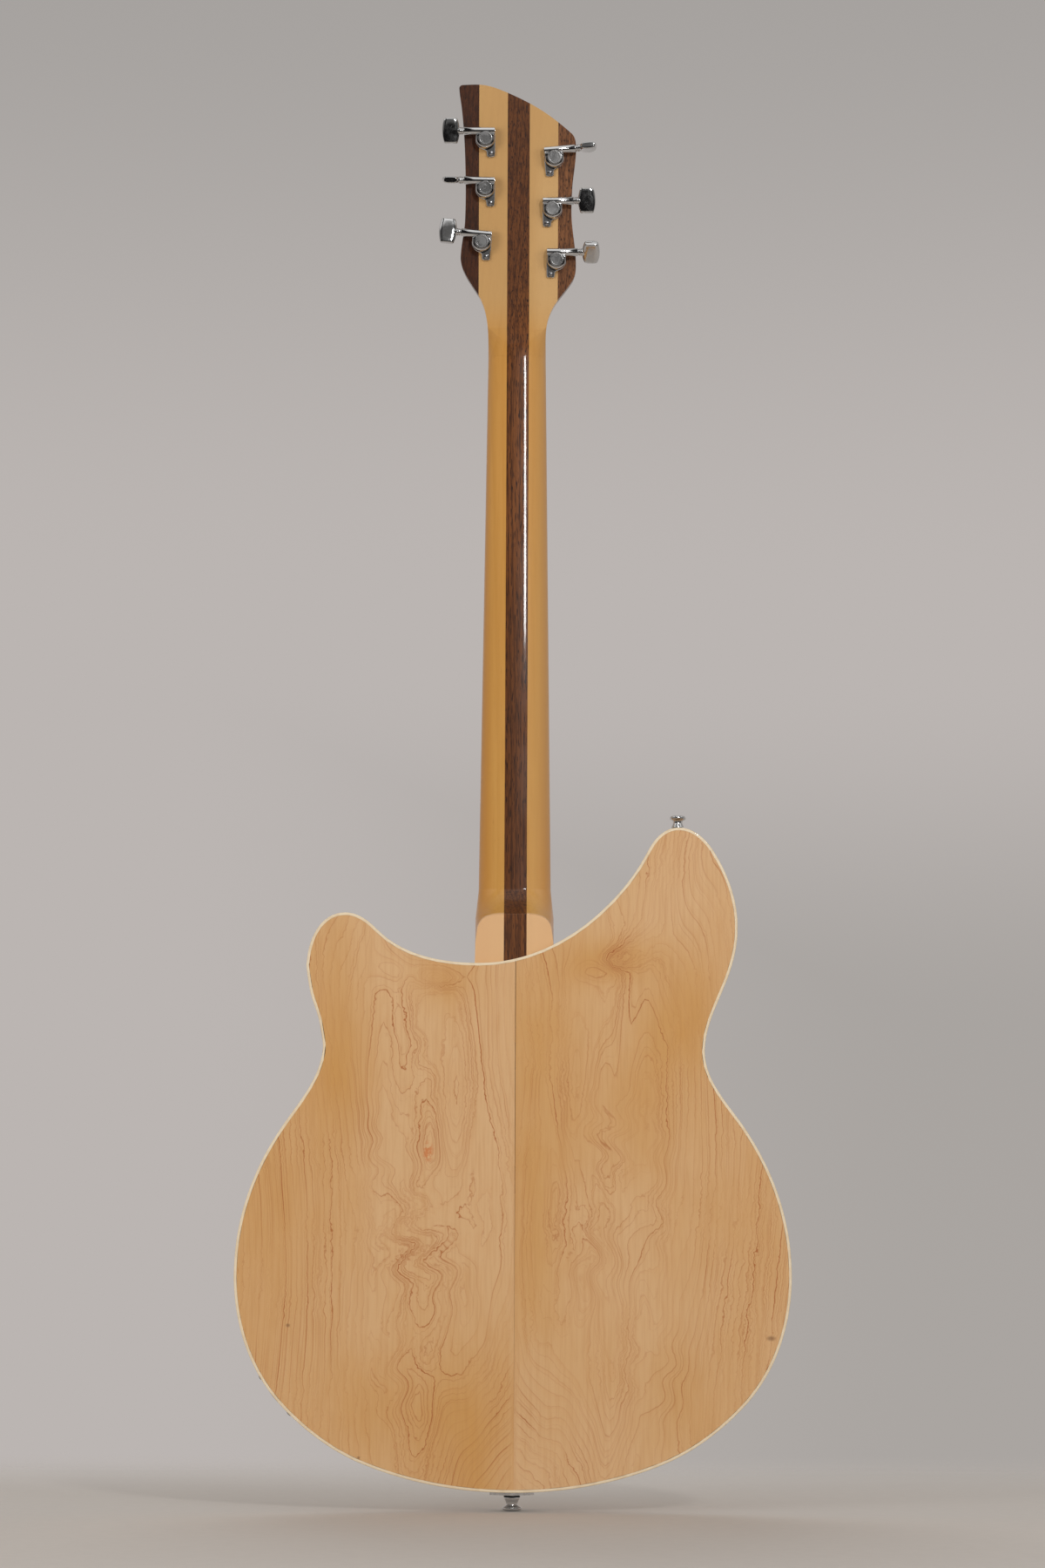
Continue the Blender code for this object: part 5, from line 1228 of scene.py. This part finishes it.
# %% Gear cases
EAR, CASE_REACH, FOOT_CORNER = Vector((-0.0040, -0.0095, 0.0023)), 0.0067, 0.0016
ARC_TURNS = [math.radians(6 * k - 180) for k in range(31)]
ARC = [(CASE_REACH * math.cos(a), CASE_REACH * math.sin(a)) for a in ARC_TURNS]
CASE = [Vector(c) for c in ARC + mm((6.7, 3), (6.4, 3.4), (-6.4, 3.4), (-6.7, 3))]
CASE_LEVELS = mm((0, 1), (0, 7.4), (0.2, 8), (0.6, 8.5), (1.2, 8.8), (1.8, 8.9))
BLOCK = [Vector(c) for c in mm((-6.7, 0), (6.7, 0), (6.7, 8.3), (-6.7, 8.3))]
FOOT = [Vector(c) for c in mm((6.9, 8), (-7, 8), (-7, -6), (-6.8, -12.2), (-1.4, -12.4), (-1, -7.8), (4, -6),
                              (6.9, -2.2))]
BARREL = mm((0.6, -6.9), (2.5, -6.9), (2.8, -6.7), (2.85, -6.4), (2.85, 15), (2.6, 15.4), (2, 15.5), (2, 16),
            (2.4, 16.1), (2.5, 16.3), (2.5, 16.8), (2.3, 17), (1.8, 17), (1.7, 16.8), (1.7, 9))
LID_PROFILE = mm((5, 8.6), (5, 9.3), (4.92, 9.48), (4.8, 9.57), (4.6, 9.6), (4.5, 9.6), (3.9, 9.6), (3.8, 9.6),
                 (3.7, 9.52), (3.6, 9.5), (3.5, 9.5), (0.6, 9.5))
for number, frame in enumerate(TUNERS, 1):
    case = pressed(bmesh.new(), softened(FOOT, FOOT_CORNER), mm((0, 0), (0, 1.8), (0.4, 2.2)), frame)
    pressed(case, BLOCK, mm((0, 1), (0, 5.2)), frame)
    pressed(case, CASE, CASE_LEVELS, frame)
    turned(BARREL, arm_of(frame), 40, onto=case)
    finished("tuner_case_%d" % number, case, CHROME, stands_for="tuner_housing_%d" % number, crease=35)
    finished("tuner_lid_%d" % number, turned(LID_PROFILE, frame), LID, crease=35)
screws("tuner_screws", [(frame @ EAR, facing(frame)) for frame in TUNERS], 0.0019)
print("gear cases:", len(TUNERS))

# %% Buttons on their shafts
BUTTON_BASE, BUTTON_LENGTH, BUTTON_WIDTH, BUTTON_THICKNESS, BUTTON_CORNER = 0.0185, 0.0125, 0.0178, 0.0052, 3.4
SHAFT = mm((1.2, 9.2), (1.4, 9.4), (1.4, 17.3), (2.4, 17.3), (2.6, 17.5), (2.6, 18.6), (2.4, 18.9), (2.3, 19.4),
           (2.3, 21.5))
BUTTON_END = ((1.0, 0.80), (0.995, 0.88), (0.975, 0.95), (0.94, 1.0))


def make_button(number, frame):
    arm = arm_of(frame)
    turn = arm @ Matrix.Rotation(math.radians(BUTTON_TURNS[number - 1]), 4, "Z")
    sides = [(0.90 * (k / 8 - 1), 1.0) for k in range(1, 16)]
    rings, middle = [], BUTTON_BASE + BUTTON_LENGTH / 2
    for share, size in [(-s, size) for s, size in BUTTON_END] + sides + list(BUTTON_END[::-1]):
        long = BUTTON_LENGTH * (0.5 - 0.13 * abs(share) ** 2.2) - (1 - size) * 0.003
        thick = BUTTON_THICKNESS / 2 * (1 - 0.10 * share * share) - (1 - size) * 0.003
        ring = []
        for k in range(40):
            up, off = math.cos(math.pi * k / 20), math.sin(math.pi * k / 20)
            up, off = [math.copysign(abs(c) ** (2 / BUTTON_CORNER), c) for c in (up, off)]
            ring.append(turn @ Vector((share * BUTTON_WIDTH / 2, off * thick, middle + up * long)))
        rings.append(ring)
    knob = "tuner_knob_%d" % number
    finished("tuner_button_%d" % number, skin(turned(SHAFT, arm, 40), rings), CHROME, knob, knob, 45)


for number, frame in enumerate(TUNERS, 1):
    make_button(number, frame)
print("buttons turned to", BUTTON_TURNS)

# %% Posts and ferrules
POST_PROFILE = mm((1.8, -16.5), (2.6, -16.45), (3, -16), (3, -12.5), (2.8, -12), (2.4, -11.5), (2.3, -10.8),
                  (2.3, -5.8), (2.4, -5.1), (2.8, -4.5), (3, -4), (3, 18))
FERRULE = mm((4.1, -15), (4.1, 0), (5.5, 0), (5.5, 0.6), (5.1, 1.2), (4.3, 1.5), (3.4, 1.5), (3.3, 1.3),
             (3.3, -15))
HEAD_FACE = Vector((0, 0, -HEAD_THICKNESS))
for number, frame in enumerate(TUNERS, 1):
    post = "tuner_post_%d" % number
    spindle = turned(POST_PROFILE, frame @ Matrix.Translation(HEAD_FACE), 40)
    finished("tuner_spindle_%d" % number, spindle, CHROME, post, post, 50)
ferrule = master_of("ferrule", turned(FERRULE, STRAIGHT, 40, True))
set_out("tuner_ferrules", [(frame @ HEAD_FACE, -facing(frame)) for frame in TUNERS], ferrule, CHROME)
print("posts and ferrules:", len(TUNERS))

# %% [markdown]
# ## Strings
# A string runs straight from the tail bar over its saddle to the nut, and then winds round
# its post. The three lower ones are wound with fine wire, which shows as a close ripple. A
# tree draws a round section along each path.

# %% Strings
STRING_RADII = (0.000585, 0.000455, 0.00033, 0.000215, 0.000165, 0.000125)
POST_ORDER = (5, 4, 3, 0, 1, 2)
NUT_LINE, BRIDGE_LINE, TAIL_LINE, TAIL_Z = -0.0074, -0.0104, -0.00345, -0.716
WRAP_STEPS, WRAPS, POST_WAIST = 20, 2, 0.0023


def make_round_path():
    net = new_tree("round_path", {"Geometry": "Geometry", "Radius": 0.0005, "Sides": 10})
    path = net.add("GeometryNodeMeshToCurve", {0: net.given["Geometry"]})[0]
    circle = {"Resolution": net.given["Sides"], "Radius": net.given["Radius"]}
    section = net.add("GeometryNodeCurvePrimitiveCircle", circle)[0]
    tube = {"Curve": path, "Profile Curve": section, "Fill Caps": True}
    return finish_tree(net, net.add("GeometryNodeCurveToMesh", tube)[0])


def spread_out(width):
    """x of the six strings, from the thickest to the thinnest."""
    return [width * (k / 5 - 0.5) for k in range(6)]


def string_route(index, radius):
    x, share, _ = POSTS[POST_ORDER[index]]
    nut_x, bridge_x = spread_out(NUT_SPREAD)[index], spread_out(BRIDGE_SPREAD)[index]
    route = [Vector(p) for p in (
        (bridge_x, TAIL_LINE, TAIL_Z - 0.006), (bridge_x, TAIL_LINE, TAIL_Z + 0.006),
        (bridge_x, BRIDGE_LINE, -SCALE_LENGTH),
        (nut_x, NUT_LINE - radius, 0.0003), (nut_x, NUT_LINE - radius, 0.0051))]
    reach = POST_WAIST + radius + 0.0003
    for k in range(WRAPS * WRAP_STEPS + 1):
        angle = math.pi - 2 * math.pi * k / WRAP_STEPS
        across = x + math.copysign(reach, x) * math.cos(angle)
        rise = -0.0100 + (2 * radius + 0.0004) * k / WRAP_STEPS
        route.append(HEAD_FRAME @ Vector((across, share * HEAD_LENGTH + reach * math.sin(angle), rise)))
    return route


ROUND_PATH = make_round_path()
for index, radius in enumerate(STRING_RADII):
    route, name = string_route(index, radius), "string_%d" % (6 - index)
    seed = seed_of(route, [(k, k + 1) for k in range(len(route) - 1)])
    finish = WOUND if index < 3 else STEEL
    grown(name + "_wire", seed, ROUND_PATH, {"Radius": radius}, finish, stands_for=name, crease=60.0)

# %% [markdown]
# ## Front fittings
# The front carries a white guard with two pickups, a bridge on two height screws, a trapeze
# tailpiece, four knobs and a switch. Their solids already have the right forms, so most only
# get rounded edges. What a player's hand and eye meet close up is added: pole pieces, saddle
# and guard screws, and the grip ribs of the knobs.

# %% Guard, pickups and their poles
POLE_SPREAD, PICKUP_SCREW_X = 0.050, 0.0338
GUARD_SCREWS = mm((47, -496), (69.5, -525), (118, -609), (141, -670), (90, -733), (60, -685))


def on_front(level, places):
    """(x, z) places at one level of y, as pairs with the way they face."""
    return [(Vector((x, level, z)), FRONT) for x, z in places]


dress("pickguard", WHITE, 0.0006)
for node, middle in (("pickup_neck", -0.5020), ("pickup_bridge", -0.5880)):
    dress(node, BLACK, 0.0009)
    low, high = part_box(node)
    poles = on_front(low[1] - 0.0001, [(x, middle) for x in spread_out(POLE_SPREAD)])
    set_out(node + "_poles", poles, POLE, NICKEL, 0.0024)
    ears = on_front(high[1] - 0.0018, [(x, middle) for x in (-PICKUP_SCREW_X, PICKUP_SCREW_X)])
    screws(node + "_screws", ears, 0.0016)
screws("guard_screws", on_front(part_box("pickguard")[0][1], GUARD_SCREWS), 0.0025)

# %% Bridge and tailpiece
dress("bridge_base", CHROME, 0.0006)
dress("bridge_saddle", NICKEL, 0.0002)
dress("bridge_post_bass", STEEL)
dress("bridge_post_treble", STEEL)
screw_z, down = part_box("bridge_saddle")[0][2] + 0.0005, Vector((0, 0, -1))
screws("saddle_screws", [(Vector((x, -0.0065, screw_z)), down) for x in spread_out(BRIDGE_SPREAD)], 0.0012)
dress("tailpiece", CHROME, 0.0004)

# %% Knobs with grip ribs
RIB_SIZES = {"Ribs": 28, "Ring Radius": 0.0094, "Rib Radius": 0.0006, "Rib Length": 0.0078}
KNOB_HEIGHT = 0.0145
KNOB_SKIRT = mm((3, -13), (3, 3), (5.8, 3), (6, 0), (11.8, 0), (12, 0.3), (12, 2), (11.6, 2.7), (10.4, 4),
                (9.9, 4.8))
KNOB_CAP = mm((9.4, 1.8), (9.1, 1), (8.5, 0.4), (7.6, 0.1), (6, 0.1), (5.8, 0.4), (0.6, 0.4))


def make_rib_tree():
    net = new_tree("grip_ribs", {"Centre": "Vector", **RIB_SIZES})
    centre, count, ring_radius, radius, length = [net.given[title] for title in ("Centre", *RIB_SIZES)]
    ring = net.add("GeometryNodeMeshCircle", {"Vertices": count, "Radius": ring_radius})[0]
    rib = net.add("GeometryNodeMeshCylinder", {"Vertices": 8, "Radius": radius, "Depth": length})[0]
    ribs = net.add("GeometryNodeInstanceOnPoints", {"Points": ring, "Instance": rib})[0]
    standing = {"Geometry": ribs, "Translation": centre, "Rotation": (math.pi / 2, 0, 0)}
    return finish_tree(net, net.add("GeometryNodeTransform", standing)[0])


def front_frame(low, high):
    """Frame on the middle of a box, its third axis off the front."""
    return axis_frame(((low[0] + high[0]) / 2, 0, (low[2] + high[2]) / 2), (0, -1, 0), (1, 0, 0))


GRIP_RIBS = make_rib_tree()
for number in range(1, 5):
    node = "control_knob_%d" % number
    low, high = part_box(node)
    top, skirt, place = -low[1], -low[1] - KNOB_HEIGHT, front_frame(low, high)
    profile = [(r, skirt + h) for r, h in KNOB_SKIRT] + [(r, top - h) for r, h in KNOB_CAP]
    finished("knob_%d" % number, turned(profile, place, 64), BLACK, node, node, 35)
    centre = {"Centre": tuple(place @ Vector((0, 0, skirt + 0.0088)))}
    grown("knob_ribs_%d" % number, seed_of(), GRIP_RIBS, {**RIB_SIZES, **centre}, BLACK, node)
dress("control_plate", STEEL, 0.0)

# %% Switch
GUARD_UNDER = -0.0088
low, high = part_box("pickup_switch")
SWITCH_AT, mouth, tip = front_frame(low, high), -low[1], -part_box("switch_lever")[0][1]
BUSHING_FOOT = mm((8.4, -9), (8.5, -8.8), (8.5, -0.3), (8.3, 0), (4.7, 0))
BUSHING_NECK = mm((4.7, 4), (6.6, 3.9), (6.6, 2), (6.2, 1.7), (4.7, 1.6), (4.7, 0.3), (4.4, 0), (3.3, 0),
                  (3, 0.3))
LEVER_TIP = mm((2.2, 6.5), (2.5, 4.2), (2.4, 2), (1.9, 0.7), (1.1, 0.1), (0.3, 0))
bushing = [(r, GUARD_UNDER + h) for r, h in BUSHING_FOOT] + [(r, mouth - h) for r, h in BUSHING_NECK]
bushing.append((0.0030, GUARD_UNDER - 0.005))
finished("switch_bushing", turned(bushing, SWITCH_AT), NICKEL, stands_for="pickup_switch", crease=35)
lever = [(0.0009, -0.0060), (0.0011, mouth), (0.0013, mouth + 0.004)] + [(r, tip - h) for r, h in LEVER_TIP]
finished("switch_tip", turned(lever, SWITCH_AT, 32), WHITE, "switch_lever", "switch_lever", 60)
print("front fittings are ready")

# %% [markdown]
# ## Rim fittings
# Strap buttons are turned and plated, so their curves should be round and unbroken: a fine
# lathe profile does it. The jack plate is let into the rim with four small screws.

# %% Strap buttons on their washers
BUTTON_RISE, WASHER_TOP = 0.0085, 0.0018
BUTTON_WAIST = ((0.78, 0.0), (0.78, 0.05), (0.76, 0.12), (0.70, 0.20), (0.64, 0.28), (0.605, 0.38),
                (0.595, 0.48), (0.605, 0.56), (0.66, 0.62), (0.78, 0.67), (0.90, 0.70), (0.97, 0.73),
                (1.0, 0.77), (1.0, 0.84), (0.985, 0.89), (0.94, 0.94), (0.86, 0.975), (0.70, 1.0),
                (0.50, 0.99), (0.45, 0.94), (0.44, 0.80), (0.05, 0.80))
horn_low, horn_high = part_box("horn_strap_button")
END_AT = axis_frame((0, TOP_Y + 0.022, END_Z), (0, 0, -1), (1, 0, 0))
HORN_AT = axis_frame(((horn_low[0] + horn_high[0]) / 2, TOP_Y + 0.020, -0.3452), (0, 0, 1), (1, 0, 0))


def make_strap_button(name, place, flange, start):
    base, low, outer = start + WASHER_TOP, start + 0.0003, flange * 0.86
    profile = [(0.0019, -0.018), (0.0020, -0.0175), (0.0020, base)]
    profile += [(flange * r, base + BUTTON_RISE * h) for r, h in BUTTON_WAIST]
    finished(name + "_button", turned(profile, place, 56), CHROME, stands_for=name + "_strap_button", crease=35)
    ring = [(0.0023, low), (outer - 0.0003, low), (outer, low + 0.0004), (outer, low + 0.0009),
            (outer - 0.0003, low + 0.0012), (0.0023, low + 0.0012)]
    finished(name + "_felt", turned(ring, place, 48, True), FELT, stands_for=name + "_felt_washer")
    return place @ Vector((0, 0, base + BUTTON_RISE * 0.80)), facing(place)


STRAP_BUTTONS = (("end", END_AT, 0.0065, 0.0021), ("horn", HORN_AT, 0.0056, 0.0))
screws("strap_button_screws", [make_strap_button(*sizes) for sizes in STRAP_BUTTONS], 0.0025)


# %% Jack plate
def plate_screws():
    """Corners of the bent plate, with the way it faces there."""
    low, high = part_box("jack_plate")
    places = []
    for z in (low[2] + 0.0040, high[2] - 0.0035):
        k = min((k for k, point in enumerate(RIM) if point.x > 0.1), key=lambda k: abs(RIM[k].y - z))
        out = Vector((-RIM_INWARD[k].x, 0, -RIM_INWARD[k].y))
        for y in (low[1] + 0.0035, high[1] - 0.0035):
            places.append((Vector((RIM[k].x, y, RIM[k].y)) + out * 0.0001, out))
    return places


dress("jack_plate", CHROME)
dress("output_jack", NICKEL, 0.0002)
screws("jack_screws", plate_screws(), 0.0022)

# %% [markdown]
# ## Floor, light and camera
# The guitar stands upright in a pale studio. The floor takes its soft shadow, and away from the guitar it fades
# to see-through, so the pale background shows, with painted light and shade on it. Metal also mirrors the rest
# of the room, with a dark column at each side. Two large soft boxes stand either side of the camera, a narrow
# strip draws the long highlight along the lacquered neck, and one soft box lights the front.

# %% Background with painted light and shade
BACKDROP_LOW, BACKDROP_HIGH, BACKDROP_PAINTED_LIGHT = rgb(170, 165, 161), rgb(165, 161, 158), rgb(187, 181, 178)
ROOM_LOW, ROOM_MIDDLE, ROOM_HIGH = rgb(24, 23, 23), rgb(98, 97, 96), rgb(248, 247, 246)
FLOOR_TONE, FLOOR_SPECKLE, FLOOR_HALF, FILL_LIGHT = rgb(194, 186, 178), rgb(182, 174, 166), 4, 0.42


def seen_directly(net):
    """1 for rays that come from the camera, a reflection or a see-through surface."""
    path = net.add("ShaderNodeLightPath")
    return net.most(net.most(path["Is Camera Ray"], path["Is Glossy Ray"]), path["Is Transmission Ray"])


def make_world():
    world = bpy.data.worlds.new("studio")
    SCENE.world = world
    world.use_nodes = True
    net = Net(world.node_tree)
    net.tree.nodes.clear()
    x, y, up = net.split(net.add("ShaderNodeTexCoord")["Generated"])
    # Painted light and shade on the backdrop: darker towards the top, a painted pool of light at middle height
    # and towards +x, and painted shade low on the -x side.
    backdrop = net.blend(net.ramp(up, -0.06, 0.34), BACKDROP_LOW, BACKDROP_HIGH)
    lit = net.most(net.ramp(x, -0.12, 0.10), net.ramp(up, 0.08, 0.18))
    backdrop = net.blend(net.mul(lit, net.ramp(up, 0.38, 0.20)), backdrop, BACKDROP_PAINTED_LIGHT)
    room = net.blend(net.ramp(up, -0.10, -0.06), ROOM_LOW, ROOM_MIDDLE)
    room = net.blend(net.ramp(up, 0.34, 0.44), room, ROOM_HIGH)
    sideways = net.math("ABSOLUTE", x)
    room = net.blend(net.mul(net.ramp(sideways, 0.30, 0.36), net.ramp(sideways, 0.58, 0.50)), room, ROOM_LOW)
    behind = net.mul(net.add("ShaderNodeLightPath")["Is Glossy Ray"], net.ramp(y, -0.15, 0.3))
    fill = net.add("ShaderNodeBackground", {"Color": (1.0, 1.0, 1.0, 1.0), "Strength": FILL_LIGHT})[0]
    back = net.add("ShaderNodeBackground", {"Color": net.blend(behind, backdrop, room), "Strength": 1.0})[0]
    mixed = net.add("ShaderNodeMixShader", {0: seen_directly(net), 1: fill, 2: back})[0]
    net.add("ShaderNodeOutputWorld", {"Surface": mixed})


make_world()
print("background is ready")


# %% Floor
def make_floor():
    shape = bmesh.new()
    corners = [(x * FLOOR_HALF, y * FLOOR_HALF, FLOOR_Z) for x, y in ((-1, -1), (1, -1), (1, 1), (-1, 1))]
    shape.faces.new([shape.verts.new(corner) for corner in corners])
    floor = placed("floor", mesh_of("floor", shape))
    net = Finish("floor", 0.8)
    speckle = net.ramp(net.noise(net.place, 90.0, 4.0, 0.7), 0.3, 0.7)
    net.fill(net.target, {"Base Color": net.tint(FLOOR_TONE, speckle, 0.25, FLOOR_SPECKLE)})
    flat = net.scaled(net.place, 1, 1, 0)
    radius = net.add("ShaderNodeVectorMath", {0: flat}, operation="LENGTH")["Value"]
    far = net.most(net.ramp(net.split(net.place)[1], -0.15, -1.1), net.ramp(radius, 0.8, 2.0))
    lit, clear = net.tree.nodes["Principled BSDF"].outputs[0], net.add("ShaderNodeBsdfTransparent")[0]
    mixed = net.add("ShaderNodeMixShader", {0: net.mul(far, seen_directly(net)), 1: lit, 2: clear})[0]
    net.fill(net.tree.nodes["Material Output"].inputs, {"Surface": mixed})
    floor.data.materials.append(net.made)


make_floor()
print("floor at", FLOOR_Z)


# %% Soft boxes
def soft_box(name, place, aim, width, height, power, mirrored=False):
    data = bpy.data.lights.new(name, "AREA")
    data.shape = "RECTANGLE"
    data.size, data.size_y, data.energy = width, height, power
    lamp = placed(name, data)
    lamp.location = place
    lamp.rotation_euler = (Vector(aim) - Vector(place)).to_track_quat("-Z", "Y").to_euler()
    lamp.visible_glossy = mirrored


soft_box("soft_left", (1.9, 2.2, -0.1), (0, 0, -0.4), 1.1, 1.4, 30.0)
soft_box("soft_right", (-1.9, 2.2, 0.0), (0, 0, -0.4), 1.1, 1.4, 14.5)
soft_box("strip", (-0.72, 2.25, 0.48), (0, 0, -0.14), 0.19, 0.36, 15.0, mirrored=True)
soft_box("soft_front", (0.3, -2.4, 0.7), (0, 0, -0.3), 1.6, 1.6, 34.0)
print("lamps:", len(bpy.data.lights))

# %% Camera
CAMERA_LENS, CAMERA_PLACE = 82.44, (-0.0052, 2.514, -0.689)
CAMERA_RISE, CAMERA_ROLL = math.radians(8.6), math.radians(0.24)


def make_camera():
    data = bpy.data.cameras.new("camera")
    data.lens, data.sensor_width = CAMERA_LENS, 36.0
    data.clip_start, data.clip_end = 0.05, 50.0
    forward = Vector((0, -math.cos(CAMERA_RISE), math.sin(CAMERA_RISE)))
    level, upright = Vector((-1, 0, 0)), Vector((0, math.sin(CAMERA_RISE), math.cos(CAMERA_RISE)))
    up = upright * math.cos(CAMERA_ROLL) - level * math.sin(CAMERA_ROLL)
    right = level * math.cos(CAMERA_ROLL) + upright * math.sin(CAMERA_ROLL)
    place = Matrix((right, up, -forward)).transposed().to_4x4()
    place.translation = Vector(CAMERA_PLACE)
    SCENE.camera = placed("camera", data)
    SCENE.camera.matrix_world = place


make_camera()
SCENE.view_settings.view_transform = "Standard"
print("camera at", CAMERA_PLACE)

# %% Update the scene
bpy.context.view_layer.update()
